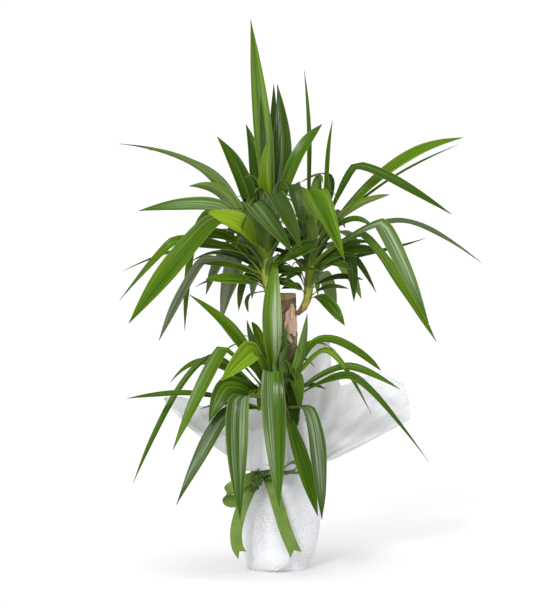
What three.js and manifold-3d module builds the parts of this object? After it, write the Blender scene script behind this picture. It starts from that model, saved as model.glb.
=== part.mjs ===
// A potted yucca: two woody canes with three leafy heads, in a nursery pot inside a tied gift wrap.
// Millimetres, +Z up. The origin is the centre of the base; the plant's fuller side faces -Y.
import * as THREE from "three";
import { mergeVertices } from "three/addons/utils/BufferGeometryUtils.js";
import Module from "manifold-3d";

const wasm = await Module();
wasm.setup();

// Clearance between pieces that touch
const seatGap = 0.3;

// Wrap: a four-sided sheet, its bottom flat on the ground, gathered at the tie
const wrapThick = 1;
const wrapFloorRadius = 44;
const wrapBellyRadius = 61.5;
const wrapBellyFold = 2.6;
const wrapShoulderZ = 104;
const wrapColumns = 54;
const tieZ = 160;
const tieRadius = 49.2;
const tieFold = 3;
const collarFootZ = 167;
const collarBulge = 0.05;
const pleatCount = 12;
const pleatDrift = 1.3;
const pleatDriftStart = 0.7;
const pleatSharpness = 0.25;
const pleatTwist = 0.6;
const flutterGrowth = 1.6;
const flutterSpan = 0.8;
const cuffMiddle = 250;
const cuffHalfWide = 42;
const cuffDrop = 60;
const cuffStandOff = 2.6;
const cuffRoll = 1;
const cuffTurnRate = 1.6;
const rimRunOn = 0.8;

// Pot and soil
const potHeight = 108;
const potRimRadius = 57;
const potLipHeight = 8;
const potLipStep = 2;
const potBaseRadius = 42;
const potWall = 1.6;
const drainHoleRadius = 4;
const drainRingRadius = 26;
const drainHoleCount = 6;
const soilTopZ = 99;
const soilCrown = 4;
const roundSides = 30;

// Canes
const tallCaneX = 10;
const tallCaneY = 14;
const tallCaneRadius = 16.3;
const tallCaneTopZ = 452;
const shortCaneX = -14;
const shortCaneY = -22;
const shortCaneRadius = 12.5;
const shortCaneTopZ = 232;
const caneFootZ = 34;
const caneSides = 12;
const caneStep = 38;

// Blades: the share of the full width at the foot, and how thick they are along the midrib and the edge
const bladeFootShare = 0.38;
const bladeWidestAt = 0.58;
const bladeTipPower = 1.9;
const bladeTipHalfWidth = 0.7;
const midribHalf = 0.55;
const edgeHalf = 0.32;
const footChannel = 0.5;
const bladeChannel = 0.2;
const shootSides = 8;
const bladeRootDepth = 0.45;
const bladeLift = 0.36;
const bladeFold = 0.42;
const bladeSteep = 2;
const bladeLeastSteep = 0.35;
const bladeSteepPerSlope = 1.5;
const headTolerance = 0.15;

// Ribbon
const ribbonWide = 20;
const ribbonThick = 0.8;
const bandHigh = 12;
const bandSides = 40;
const knotSize = [11, 5.6, 10];
const knotTurn = -0.45;
const knotPlace = [-24, -50, 161];
const loopPinch = 10;

const point = (x, y, z) => new THREE.Vector3(x, y, z);
const mix = THREE.MathUtils.lerp;
const smooth = THREE.MathUtils.smoothstep;
const degrees = Math.PI / 180;

// A closed mesh from points and triangles, turned so that its faces point out
function closedGeometry(points, faces) {
  const position = new Float32Array(points.flatMap((p) => [p.x, p.y, p.z]));
  let geometry = new THREE.BufferGeometry();
  geometry.setAttribute("position", new THREE.BufferAttribute(position, 3));
  geometry.setIndex(faces.flat());
  geometry = mergeVertices(geometry, 1e-4);
  const old = geometry.index.array;
  const at = (i) => new THREE.Vector3().fromBufferAttribute(geometry.attributes.position, i);
  const kept = [];
  let volume = 0;
  for (let i = 0; i < old.length; i += 3) {
    const [a, b, c] = [old[i], old[i + 1], old[i + 2]];
    if (a === b || b === c || c === a) continue;
    kept.push([a, b, c]);
    volume += at(a).dot(at(b).cross(at(c)));
  }
  geometry.setIndex(kept.flatMap(([a, b, c]) => (volume < 0 ? [a, c, b] : [a, b, c])));
  return geometry;
}

function solidOf(geometry) {
  const bare = geometry.clone();
  bare.deleteAttribute("normal");
  bare.deleteAttribute("uv");
  const source = bare.index ? bare.toNonIndexed() : bare;
  const count = source.attributes.position.count;
  const points = [];
  for (let i = 0; i < count; i++) points.push(point().fromBufferAttribute(source.attributes.position, i));
  const faces = [];
  for (let i = 0; i < count; i += 3) faces.push([i, i + 1, i + 2]);
  const closed = closedGeometry(points, faces);
  return new wasm.Manifold(
    new wasm.Mesh({
      numProp: 3,
      vertProperties: closed.attributes.position.array,
      triVerts: new Uint32Array(closed.index.array),
    }),
  );
}

function geometryOf(solid) {
  const mesh = solid.getMesh();
  const geometry = new THREE.BufferGeometry();
  geometry.setAttribute("position", new THREE.BufferAttribute(new Float32Array(mesh.vertProperties), 3));
  geometry.setIndex(new THREE.BufferAttribute(new Uint32Array(mesh.triVerts), 1));
  return geometry;
}

const joined = (solids) => solids.reduce((whole, solid) => whole.add(solid));

// A thin closed solid between two equal grids of points, both split along the same diagonals
function slab(front, back, closedAcross = false) {
  const rows = front.length;
  const columns = front[0].length;
  const at = (side, row, column) => (side * rows + row) * columns + (column % columns);
  const faces = [];
  const quad = (a, b, c, d) => faces.push([a, b, c], [a, c, d]);
  const across = closedAcross ? columns : columns - 1;
  for (let column = 0; column < across; column++) {
    for (let row = 0; row < rows - 1; row++) {
      const [a, b] = [at(0, row, column), at(0, row + 1, column)];
      const [c, d] = [at(0, row + 1, column + 1), at(0, row, column + 1)];
      quad(a, b, c, d);
      const half = rows * columns;
      faces.push([a + half, c + half, b + half], [a + half, d + half, c + half]);
    }
    const last = rows - 1;
    quad(at(0, 0, column), at(0, 0, column + 1), at(1, 0, column + 1), at(1, 0, column));
    quad(at(0, last, column + 1), at(0, last, column), at(1, last, column), at(1, last, column + 1));
  }
  if (!closedAcross) {
    const end = columns - 1;
    for (let row = 0; row < rows - 1; row++) {
      quad(at(0, row + 1, 0), at(0, row, 0), at(1, row, 0), at(1, row + 1, 0));
      quad(at(0, row, end), at(0, row + 1, end), at(1, row + 1, end), at(1, row, end));
    }
  }
  return closedGeometry([...front.flat(), ...back.flat()], faces);
}

// A closed solid through rings of points, with a fan at each end
function loft(rings) {
  const sides = rings[0].length;
  const points = rings.flat();
  const faces = [];
  for (let ring = 0; ring < rings.length - 1; ring++) {
    for (let side = 0; side < sides; side++) {
      const next = (side + 1) % sides;
      const [a, b] = [ring * sides + side, ring * sides + next];
      faces.push([a, b, b + sides], [a, b + sides, a + sides]);
    }
  }
  const middle = (ring) => ring.reduce((sum, p) => sum.add(p), point(0, 0, 0)).divideScalar(sides);
  const foot = points.push(middle(rings[0])) - 1;
  const top = points.push(middle(rings.at(-1))) - 1;
  const lastRing = (rings.length - 1) * sides;
  for (let side = 0; side < sides; side++) {
    const next = (side + 1) % sides;
    faces.push([foot, next, side], [top, lastRing + side, lastRing + next]);
  }
  return closedGeometry(points, faces);
}

// A turned solid from its outline, radius and height in turn
function turned(outline, sides = roundSides) {
  const geometry = new THREE.LatheGeometry(outline.map(([r, z]) => new THREE.Vector2(r, z)), sides);
  return geometry.rotateX(Math.PI / 2);
}

// Nursery pot: tapered wall, stepped lip, drain holes round the middle of the floor
const potFootZ = wrapThick + seatGap;
const potTopZ = potFootZ + potHeight;
const potFloorZ = potFootZ + potWall;
const potWallRadius = (z) => {
  const share = (z - potFootZ) / (potHeight - potLipHeight);
  return mix(potBaseRadius, potRimRadius - potLipStep, Math.min(share, 1));
};

function nurseryPot() {
  const lipZ = potTopZ - potLipHeight;
  const body = solidOf(
    turned([
      [0, potFootZ],
      [potBaseRadius, potFootZ],
      [potWallRadius(lipZ), lipZ],
      [potRimRadius, lipZ],
      [potRimRadius, potTopZ],
      [potRimRadius - potWall, potTopZ],
      [potWallRadius(lipZ) - potWall, lipZ],
      [potWallRadius(potFloorZ) - potWall, potFloorZ],
      [0, potFloorZ],
    ]),
  );
  const drill = (x, y) => {
    const hole = new THREE.CylinderGeometry(drainHoleRadius, drainHoleRadius, potWall * 4, 12);
    return solidOf(hole.rotateX(Math.PI / 2).translate(x, y, potFootZ));
  };
  let pot = body;
  for (let hole = 0; hole < drainHoleCount; hole++) {
    const angle = (hole / drainHoleCount) * 2 * Math.PI;
    pot = pot.subtract(drill(drainRingRadius * Math.cos(angle), drainRingRadius * Math.sin(angle)));
  }
  return geometryOf(pot);
}

// A woody cane: leaf scars ring it, and it swells a little at the foot
function caneGeometry(cane, grow = 0) {
  const steps = Math.round((cane.topZ - caneFootZ) / caneStep);
  const rings = [];
  for (let step = 0; step <= steps; step++) {
    const z = mix(caneFootZ, cane.topZ, step / steps);
    const swell = 1 + 0.06 * Math.sin(step * 2.1 + cane.phase) + 0.08 * (1 - step / steps);
    const lift = step === 0 ? -grow : step === steps ? grow : 0;
    const ring = [];
    for (let side = 0; side < caneSides; side++) {
      const angle = (side / caneSides) * 2 * Math.PI;
      const dent = 1 + 0.04 * Math.sin(3 * angle + step + cane.phase);
      const radius = cane.radius * swell * dent + grow;
      const [x, y] = [cane.x + radius * Math.cos(angle), cane.y + radius * Math.sin(angle)];
      ring.push(point(x, y, z + lift));
    }
    rings.push(ring);
  }
  return loft(rings);
}

const tallCane = { x: tallCaneX, y: tallCaneY, radius: tallCaneRadius, topZ: tallCaneTopZ, phase: 0.6 };
const shortCane = { x: shortCaneX, y: shortCaneY, radius: shortCaneRadius, topZ: shortCaneTopZ, phase: 2.4 };
const caneRoom = joined([tallCane, shortCane].map((cane) => solidOf(caneGeometry(cane, seatGap))));

// Soil fills the pot, crowns up a little round the canes, and they stand in plain holes in it
function pottingSoil() {
  const footZ = potFloorZ + seatGap;
  const radiusAt = (z) => potWallRadius(z) - potWall - seatGap;
  const rim = radiusAt(soilTopZ);
  const fill = turned([
    [0, footZ],
    [radiusAt(footZ), footZ],
    [rim, soilTopZ],
    [rim * 0.8, soilTopZ + soilCrown * 0.3],
    [rim * 0.55, soilTopZ + soilCrown],
    [rim * 0.25, soilTopZ + soilCrown * 0.7],
    [0, soilTopZ + soilCrown],
  ]);
  return geometryOf(solidOf(fill).subtract(caneRoom));
}

// Shoots: the green stem of each head, from its foot on the cane to its growing tip, with its radius
const shoots = {
  left: [
    [-1, 4, 428, 7.5],
    [-20, -11, 452, 7],
    [-26, -17, 484, 7.5],
    [-20, -19, 530, 8],
    [-12, -19, 592, 6.5],
    [-11, -18, 622, 2],
  ],
  right: [
    [23, 12, 415, 7.5],
    [36, 10, 425, 7],
    [44, 9, 442, 7],
    [48, 9, 480, 8],
    [50, 9, 530, 8.5],
    [58, 9, 596, 6.5],
    [60, 9, 628, 2],
  ],
  low: [
    [-10, -24, 222, 7.5],
    [-7, -36, 246, 8],
    [-8, -42, 285, 8.5],
    [-10, -42, 322, 6],
    [-11, -42, 345, 2],
  ],
};

function shootGeometry(stem) {
  return loft(
    stem.map(([x, y, z, radius]) => {
      const ring = [];
      for (let side = 0; side < shootSides; side++) {
        const angle = (side / shootSides) * 2 * Math.PI;
        ring.push(point(x + radius * Math.cos(angle), y + radius * Math.sin(angle), z));
      }
      return ring;
    }),
  );
}

// Where a blade leaves a shoot: the shoot's middle at that height, moved out towards the blade's side
function bladeRoot(stem, height, outward) {
  const upper = Math.max(1, stem.findIndex(([, , z]) => z >= height));
  const [a, b] = [stem[upper - 1], stem[upper]];
  const share = (height - a[2]) / (b[2] - a[2]);
  const depth = bladeRootDepth * mix(a[3], b[3], share);
  const middle = point(mix(a[0], b[0], share), mix(a[1], b[1], share), height);
  return middle.add(point(depth * Math.cos(outward), depth * Math.sin(outward), 0));
}

// Blades. Each grows from the shoot's middle at the height up, passes through over, where it arches or
// folds, and ends at tip. wide is its full width, reached at the share widest of its length, foot the share
// of it at the root, and a large blunt closes its point late. lean turns its upper face to the front, in
// degrees. heading is the side it grows to, from +X towards +Y. A small fold is a sharp one, and steep is
// how upright the foot starts.
const leaves = {
  left: [
    { up: 525, over: [-34, 6, 764], tip: [-50, 0, 903], wide: 31, heading: 85, widest: 0.5, blunt: 1.7 },
    { up: 522, over: [-30, -32, 705], tip: [-34, -30, 776], wide: 13, heading: 100 },
    { up: 522, over: [2, 26, 690], tip: [-6, 48, 803], wide: 38, heading: 80, widest: 0.5, blunt: 1.5 },
    { up: 519, over: [-12, 56, 700], tip: [-12, 74, 808], wide: 18, heading: 80 },
    { up: 516, over: [-44, 48, 680], tip: [-59, 66, 738], wide: 30, heading: 115 },
    { up: 513, over: [-76, 5, 662], tip: [-106, 18, 712], wide: 36, heading: 130 },
    {
      up: 506, over: [-132, -36, 655], tip: [-260, -62, 692],
      wide: 25, lean: -38, widest: 0.42, blunt: 0.8,
    },
    { up: 510, over: [-118, 14, 655], tip: [-221, 24, 691], wide: 20, lean: -30, widest: 0.5, blunt: 1 },
    { up: 510, over: [-106, -30, 620], tip: [-150, -34, 626], wide: 28, lean: -45 },
    { up: 519, over: [-27, -46, 660], tip: [-20, -58, 700], wide: 20, heading: 80 },
    { up: 518, over: [-14, -62, 612], tip: [31, -130, 522], wide: 34, heading: 290, fold: 0.12 },
    {
      up: 513, over: [-48, -62, 597], tip: [19, -120, 513],
      wide: 36, heading: 275, lean: -25, fold: 0.12, blunt: 1.6,
    },
    { up: 516, over: [-46, -60, 604], tip: [-71, -118, 522], wide: 12, heading: 240, fold: 0.12 },
    { up: 508, over: [-96, -40, 590], tip: [-229, -66, 584], wide: 28, lean: 55, fold: 0.25, steep: 1.2 },
    { up: 504, over: [-66, -100, 560], tip: [-116, -152, 577], wide: 37, lean: 80, fold: 0.3 },
    { up: 501, over: [-104, -70, 568], tip: [-237, -150, 404], wide: 37, lean: 40, fold: 0.1 },
    {
      up: 498, over: [-172, -86, 533], tip: [-260, -66, 440],
      wide: 22, lean: 60, fold: 0.12, widest: 0.42, blunt: 1,
    },
    { up: 495, over: [-140, 34, 530], tip: [-262, 4, 488], wide: 12, lean: 30 },
    {
      up: 477, over: [-125, -30, 505], tip: [-197, -60, 375],
      wide: 24, lean: -50, fold: 0.12, widest: 0.7, blunt: 1.8,
    },
    { up: 492, over: [-118, 20, 588], tip: [-160, 22, 390], wide: 18, lean: 60, fold: 0.2 },
    { up: 486, over: [-58, 26, 548], tip: [-100, 30, 404], wide: 28, lean: -50, fold: 0.2 },
    { up: 459, over: [-54, -26, 481], tip: [-69, -30, 423], wide: 14, lean: 40, fold: 0.2 },
    { up: 456, over: [-78, -52, 474], tip: [-122, -66, 474], wide: 24, lean: 45 },
    { up: 461, over: [-86, 0, 480], tip: [-143, 14, 462], wide: 12, lean: 40 },
    { up: 454, over: [-52, -30, 446], tip: [-53, -40, 420], wide: 16, heading: 200, fold: 0.3 },
    { up: 465, over: [-98, -52, 545], tip: [-176, -80, 529], wide: 24, lean: 50 },
    { up: 480, over: [-112, 26, 518], tip: [-152, 34, 504], wide: 14, lean: 30 },
    { up: 528, over: [27, -8, 675], tip: [68, 2, 731], wide: 25, heading: 60, widest: 0.72, blunt: 2.6 },
    { up: 471, over: [-96, -10, 534], tip: [-135, -16, 524], wide: 16, lean: 10 },
  ],
  right: [
    { up: 527, over: [47, 32, 718], tip: [39, 42, 827], wide: 8, heading: 100 },
    { up: 524, over: [80, 16, 690], tip: [86, 24, 740], wide: 16, heading: 25 },
    { up: 521, over: [80, 56, 652], tip: [32, 40, 637], wide: 13, heading: 60, fold: 0.3 },
    {
      up: 526, over: [50, -56, 618], tip: [99, -140, 503],
      wide: 44, heading: 290, fold: 0.08, widest: 0.5, blunt: 1.6,
    },
    { up: 485, over: [20, -20, 630], tip: [44, -44, 538], wide: 22, heading: 275, fold: 0.1 },
    { up: 518, over: [124, 4, 660], tip: [279, -20, 581], wide: 26, lean: 36, fold: 0.12 },
    { up: 509, over: [230, 50, 690], tip: [308, 62, 715], wide: 23, lean: 44, widest: 0.7, blunt: 1.8 },
    { up: 512, over: [214, 84, 662], tip: [304, 96, 707], wide: 14, lean: 10, widest: 0.75 },
    { up: 516, over: [122, 26, 594], tip: [182, 36, 617], wide: 22, lean: -40, widest: 0.6, blunt: 3 },
    { up: 506, over: [118, -24, 572], tip: [150, -34, 560], wide: 20, lean: 32 },
    { up: 500, over: [200, 2, 570], tip: [330, -10, 501], wide: 22, lean: 28, fold: 0.3, widest: 0.68 },
    {
      up: 494, over: [160, -54, 562], tip: [232, -120, 404],
      wide: 31, heading: 330, lean: 35, fold: 0.06, widest: 0.5,
    },
    { up: 491, over: [132, -22, 547], tip: [252, -42, 373], wide: 24, lean: 34, fold: 0.1 },
    { up: 476, over: [176, 44, 524], tip: [244, 52, 545], wide: 13, lean: 30 },
    { up: 467, over: [112, 0, 520], tip: [168, 10, 522], wide: 22, lean: 50 },
    { up: 473, over: [112, 30, 516], tip: [160, 40, 452], wide: 20, lean: 50, fold: 0.2 },
    { up: 470, over: [108, -4, 510], tip: [120, -6, 438], wide: 22, lean: 45, fold: 0.15 },
    { up: 455, over: [96, 2, 478], tip: [136, 4, 474], wide: 16, lean: 35 },
    { up: 443, over: [82, -16, 462], tip: [111, -20, 459], wide: 15, lean: 35 },
    { up: 440, over: [72, -26, 440], tip: [103, -50, 399], wide: 21, lean: 45, steep: 0.6 },
    { up: 452, over: [66, -30, 496], tip: [98, -44, 511], wide: 17, lean: 50 },
    { up: 488, over: [50, -46, 530], tip: [-2, -76, 499], wide: 24, lean: 45, fold: 0.3 },
    { up: 482, over: [134, 54, 538], tip: [172, 66, 528], wide: 20, lean: 30 },
    { up: 461, over: [84, -40, 500], tip: [116, -56, 489], wide: 20, lean: 30, fold: 0.3 },
  ],
  low: [
    {
      up: 271, over: [-15, -50, 427], tip: [-8, -42, 513],
      wide: 32, heading: 95, widest: 0.56, foot: 0.16, blunt: 1.8,
    },
    { up: 266, over: [-92, -56, 402], tip: [-148, -62, 449], wide: 27, heading: 135 },
    { up: 271, over: [-48, -74, 380], tip: [-55, -76, 409], wide: 16, heading: 110 },
    { up: 258, over: [-112, -30, 348], tip: [-238, -64, 146], wide: 17, lean: 30, fold: 0.2 },
    { up: 260, over: [-134, 4, 338], tip: [-184, 6, 303], wide: 18, lean: 45 },
    { up: 264, over: [-92, -82, 361], tip: [-170, -130, 205], wide: 25, lean: 35, fold: 0.06 },
    {
      up: 253, over: [-154, -78, 290], tip: [-247, -84, 283],
      wide: 17, lean: 28, steep: 0.5, widest: 0.7, blunt: 1.3,
    },
    { up: 270, over: [-46, -104, 360], tip: [-94, -150, 314], wide: 36, lean: 60, fold: 0.1 },
    { up: 262, over: [-86, -96, 301], tip: [-114, -112, 248], wide: 34, lean: 55, fold: 0.2 },
    {
      up: 255, over: [-84, -92, 262], tip: [-164, -140, 120],
      wide: 28, lean: 32, fold: 0.15, blunt: 1.2,
    },
    {
      up: 261, over: [-64, -118, 286], tip: [-64, -150, 99],
      wide: 37, heading: 262, fold: 0.1, widest: 0.48,
    },
    {
      up: 270, over: [-14, -116, 326], tip: [-3, -152, 118],
      wide: 38, heading: 272, fold: 0.12, widest: 0.48,
    },
    { up: 251, over: [-96, -52, 272], tip: [-132, -56, 264], wide: 13, lean: 30 },
    {
      up: 266, over: [63, -62, 376], tip: [162, -44, 326],
      wide: 22, lean: 40, fold: 0.3, widest: 0.8, blunt: 3,
    },
    {
      up: 263, over: [72, -86, 360], tip: [142, -112, 261],
      wide: 20, lean: 40, fold: 0.2, widest: 0.38, blunt: 0.75,
    },
    { up: 258, over: [107, -98, 333], tip: [188, -114, 299], wide: 21, lean: 34, fold: 0.3 },
    {
      up: 256, over: [112, -126, 320], tip: [229, -152, 189],
      wide: 20, lean: 38, fold: 0.2, widest: 0.4, blunt: 0.8,
    },
    {
      up: 253, over: [42, -92, 266], tip: [64, -122, 95],
      wide: 30, heading: 300, fold: 0.15, widest: 0.5,
    },
    { up: 246, over: [14, -84, 242], tip: [58, -104, 98], wide: 27, heading: 310, lean: 15, fold: 0.2 },
    { up: 251, over: [26, -62, 330], tip: [42, -64, 419], wide: 19, heading: 298, steep: 1.6, foot: 0.6 },
    { up: 271, over: [3, -54, 362], tip: [6, -56, 392], wide: 12, heading: 80 },
    { up: 264, over: [18, -76, 312], tip: [28, -86, 270], wide: 20, heading: 310, fold: 0.3 },
    { up: 268, over: [-58, -6, 366], tip: [-96, 26, 352], wide: 24, lean: 10 },
    { up: 265, over: [46, -14, 366], tip: [92, 8, 356], wide: 24, lean: 10 },
    { up: 271, over: [-38, -4, 384], tip: [-48, 34, 404], wide: 22, heading: 120 },
  ],
};

// Leaves behind each upper head grow by one rule: the golden angle inside a fan, longer ones lower down
const goldenShare = 0.618034;
const fanDropSpread = 30;
const fanCrestAt = 0.52;
const fanWide = 26;
const backFans = {
  left: { from: 88, to: 128, count: 7, up: [465, 520], rise: [30, 76], drop: [70, 20], reach: [215, 150] },
  right: { from: 52, to: 90, count: 7, up: [455, 521], rise: [30, 70], drop: [60, 15], reach: [205, 140] },
};

function backLeaves(stem, fan) {
  const made = [];
  for (let i = 0; i < fan.count; i++) {
    const height = i / (fan.count - 1);
    const share = ((i + 1) * goldenShare) % 1;
    const heading = mix(fan.from, fan.to, share) * degrees;
    const up = mix(fan.up[0], fan.up[1], height);
    const root = bladeRoot(stem, up, heading);
    const reach = mix(fan.reach[0], fan.reach[1], height);
    const rise = mix(fan.rise[0], fan.rise[1], height);
    const drop = mix(fan.drop[0], fan.drop[1], height) + fanDropSpread * share;
    const way = (far, z) => [
      root.x + far * Math.cos(heading),
      root.y + far * Math.sin(heading),
      root.z + z,
    ];
    made.push({ up, over: way(reach * fanCrestAt, rise), tip: way(reach, rise - drop), wide: fanWide });
  }
  return made;
}

function bladeWidth(leaf, along) {
  const widest = leaf.widest ?? bladeWidestAt;
  const opening = mix(leaf.foot ?? bladeFootShare, 1, smooth(along, 0, widest));
  const past = Math.max(0, (along - widest) / (1 - widest));
  const closing = 1 - past ** (leaf.blunt ?? bladeTipPower);
  return Math.max((leaf.wide / 2) * opening * closing, bladeTipHalfWidth);
}

function leafGeometry(stem, leaf) {
  const over = point(...leaf.over);
  const tip = point(...leaf.tip);
  const middle = bladeRoot(stem, leaf.up, 0);
  const outward = leaf.heading === undefined
    ? Math.atan2(tip.y - middle.y, tip.x - middle.x)
    : leaf.heading * degrees;
  const root = bladeRoot(stem, leaf.up, outward);
  const fold = leaf.fold ?? bladeFold;
  const way = over.clone().sub(root);
  const slope = way.z / Math.max(Math.hypot(way.x, way.y), 1);
  const steep = leaf.steep ?? Math.min(bladeSteep, bladeLeastSteep + bladeSteepPerSlope * slope);
  const start = point(Math.cos(outward), Math.sin(outward), steep).normalize();
  const lifted = root.clone().addScaledVector(start, bladeLift * way.length());
  const before = over.clone().sub(lifted);
  const after = tip.clone().sub(over);
  const through = before.clone().normalize().add(after.clone().normalize()).normalize();
  const rising = over.clone().addScaledVector(through, -fold * before.length());
  const falling = over.clone().addScaledVector(through, fold * after.length());
  const first = new THREE.CubicBezierCurve3(root, lifted, rising, over);
  const second = new THREE.QuadraticBezierCurve3(over, falling, tip);
  const whole = first.getLength() + second.getLength();
  const stations = [
    [first, 0],
    [first, 0.35],
    [first, 0.72],
    [second, 0],
    [second, 0.3],
    [second, 0.65],
    [second, 1],
  ];
  const sideways = point(-Math.sin(outward), Math.cos(outward), 0);
  const lean = (leaf.lean ?? 0) * degrees * (Math.cos(outward) < 0 ? -1 : 1);
  const front = [];
  const back = [];
  for (const [curve, share] of stations) {
    const length = curve.getLength() * share;
    const along = (curve === first ? length : first.getLength() + length) / whole;
    const centre = curve.getPointAt(share);
    const tangent = curve.getTangentAt(share);
    const side = sideways.clone().addScaledVector(tangent, -sideways.dot(tangent)).normalize();
    side.applyAxisAngle(tangent, lean * smooth(along, 0, 0.4));
    const face = tangent.clone().cross(side);
    const half = bladeWidth(leaf, along);
    const channel = half * mix(footChannel, bladeChannel, smooth(along, 0, 0.4));
    const place = (across, up) => centre.clone().addScaledVector(side, across).addScaledVector(face, up);
    front.push([place(-half, channel + edgeHalf), place(0, midribHalf), place(half, channel + edgeHalf)]);
    back.push([place(-half, channel - edgeHalf), place(0, -midribHalf), place(half, channel - edgeHalf)]);
  }
  return slab(front, back);
}

// A head: the shoot and all its leaves grown together, clear of the canes. Hollows sealed among
// the leaf feet are filled: only the outer body is kept.
function head(name) {
  const stem = shoots[name];
  const rows = [...leaves[name], ...(backFans[name] ? backLeaves(stem, backFans[name]) : [])];
  const blades = rows.map((leaf) => solidOf(leafGeometry(stem, leaf)));
  const grown = joined([solidOf(shootGeometry(stem)), ...blades]).subtract(caneRoom);
  const bodies = grown.asOriginal().simplify(headTolerance).decompose();
  return geometryOf(bodies.reduce((most, body) => (body.volume() > most.volume() ? body : most)));
}

// The wrap's rim, counted from its right corner: the side each place faces, its radius and its height
const wrapRim = [
  [3, 214, 245],
  [14, 222, 272],
  [25, 232, 296],
  [33, 207, 318],
  [41, 136, 294],
  [51, 138, 328],
  [58, 158, 380],
  [75, 136, 366],
  [96, 118, 322],
  [124, 106, 276],
  [150, 138, 262],
  [168, 198, 279],
  [183, 156, 236],
  [200, 106, 212],
  [222, 80, 231],
  [246, 73, 233],
  [272, 69, 239],
  [292, 68, 252],
  [312, 74, 236],
  [330, 84, 182],
  [348, 142, 212],
];

// Between two of the rim's places the sheet runs on evenly: a share of the whole way round gives its lay
function wrapLay(turn) {
  const place = turn * wrapRim.length;
  const low = Math.floor(place) % wrapRim.length;
  const share = place - Math.floor(place);
  const [a, b] = [wrapRim[low], wrapRim[(low + 1) % wrapRim.length]];
  const sideB = b[0] < a[0] ? b[0] + 360 : b[0];
  return {
    side: mix(a[0], sideB, share) * degrees,
    radius: mix(a[1], b[1], share),
    height: mix(a[2], b[2], share),
  };
}

// Pleats: sharp where they are gathered, loose towards the rim
function pleat(side, drift) {
  const uneven = pleatDrift * Math.sin(2 * side + pleatDriftStart);
  const wave = Math.sin(pleatCount * side + uneven + drift);
  return wave * (1 - pleatSharpness * wave * wave);
}

// Rows of the sheet below the collar: radius, height, depth of the folds, and how far the thickness is
// laid inwards rather than up
const wrapRows = [
  { radius: 0, z: 0, fold: 0, inward: 0 },
  { radius: wrapFloorRadius, z: 0, fold: 0, inward: 0 },
  { radius: 55, z: 6, fold: 1.5, inward: 0.6 },
  { radius: wrapBellyRadius, z: 30, fold: wrapBellyFold, inward: 1 },
  { radius: wrapBellyRadius + 0.5, z: 66, fold: wrapBellyFold, inward: 1 },
  { radius: wrapBellyRadius, z: wrapShoulderZ, fold: 2, inward: 1 },
  { radius: wrapBellyRadius - 4, z: 128, fold: 2.5, inward: 0.9 },
  { radius: tieRadius - tieFold, z: 2 * tieZ - collarFootZ, fold: tieFold, inward: 1 },
  { radius: tieRadius - tieFold, z: collarFootZ, fold: tieFold, inward: 1 },
];
const collarRows = [0.22, 0.5, 0.78, 1];
const cuffRows = [0.55, 1];

// One point of the collar, so far along the sheet from its foot, and the way its thickness is laid
function collarPoint(lay, share) {
  const out = point(Math.cos(lay.side), Math.sin(lay.side), 0);
  const foot = new THREE.Vector2(tieRadius - tieFold, collarFootZ);
  const rise = new THREE.Vector2(lay.radius, lay.height).sub(foot);
  const across = new THREE.Vector2(rise.y, -rise.x).normalize();
  const bulge = collarBulge * rise.length() * Math.sin(share * Math.PI) * Math.sign(rise.x);
  const depth = tieFold * (1 + flutterGrowth * Math.sin(share * Math.PI * flutterSpan));
  const flutter = depth * pleat(lay.side, share * pleatTwist);
  const spot = foot.addScaledVector(rise, share).addScaledVector(across, flutter + bulge);
  const place = out.clone().multiplyScalar(spot.x).setZ(spot.y);
  return { place, inward: out.multiplyScalar(-across.x).setZ(-across.y) };
}

// The front corner is turned down outside as a cuff; beside it the rim only runs on a little
function cuffPoint(lay, share) {
  const rim = collarPoint(lay, 1);
  const away = (lay.side / degrees - cuffMiddle) / cuffHalfWide;
  const turned = Math.max(0, 1 - away * away);
  const out = point(Math.cos(lay.side), Math.sin(lay.side), 0);
  const laid = share < 1 ? point(0, 0, -1) : out;
  const inward = rim.inward.clone().lerp(laid, Math.min(1, cuffTurnRate * turned)).normalize();
  const place = rim.place.addScaledVector(out, share * (cuffStandOff * turned + seatGap));
  place.z += mix(rimRunOn * share, share < 1 ? cuffRoll : -cuffDrop, turned);
  return { place, inward };
}

function wrapSheet() {
  const front = [];
  const back = [];
  const addRow = (pointAt) => {
    const [outside, inside] = [[], []];
    for (let column = 0; column < wrapColumns; column++) {
      const { place, inward } = pointAt(wrapLay(column / wrapColumns));
      outside.push(place);
      inside.push(place.clone().addScaledVector(inward, wrapThick));
    }
    front.push(outside);
    back.push(inside);
  };
  for (const row of wrapRows) {
    addRow((lay) => {
      const radius = row.radius + row.fold * pleat(lay.side, 0);
      const out = point(Math.cos(lay.side), Math.sin(lay.side), 0);
      const inward = out.clone().multiplyScalar(-row.inward);
      inward.z = Math.sqrt(1 - row.inward ** 2);
      return { place: out.multiplyScalar(radius).setZ(row.z), inward };
    });
  }
  for (const share of collarRows) addRow((lay) => collarPoint(lay, share));
  for (const share of cuffRows) addRow((lay) => cuffPoint(lay, share));
  return slab(front, back, true);
}

// Ribbon strips follow a curve, with their width laid along one direction all the way
function strip(points, laidAlong, wideAt) {
  const curve = new THREE.CatmullRomCurve3(points.map((p) => point(...p)));
  const steps = (points.length - 1) * 2;
  const front = [];
  const back = [];
  for (let step = 0; step <= steps; step++) {
    const share = step / steps;
    const centre = curve.getPoint(share);
    const tangent = curve.getTangent(share);
    const across = laidAlong.clone();
    across.addScaledVector(tangent, -across.dot(tangent)).normalize().multiplyScalar(wideAt(share) / 2);
    const thick = tangent.clone().cross(across).normalize().multiplyScalar(ribbonThick / 2);
    front.push([centre.clone().sub(across).add(thick), centre.clone().add(across).add(thick)]);
    back.push([centre.clone().sub(across).sub(thick), centre.clone().add(across).sub(thick)]);
  }
  return solidOf(slab(front, back));
}

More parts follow.
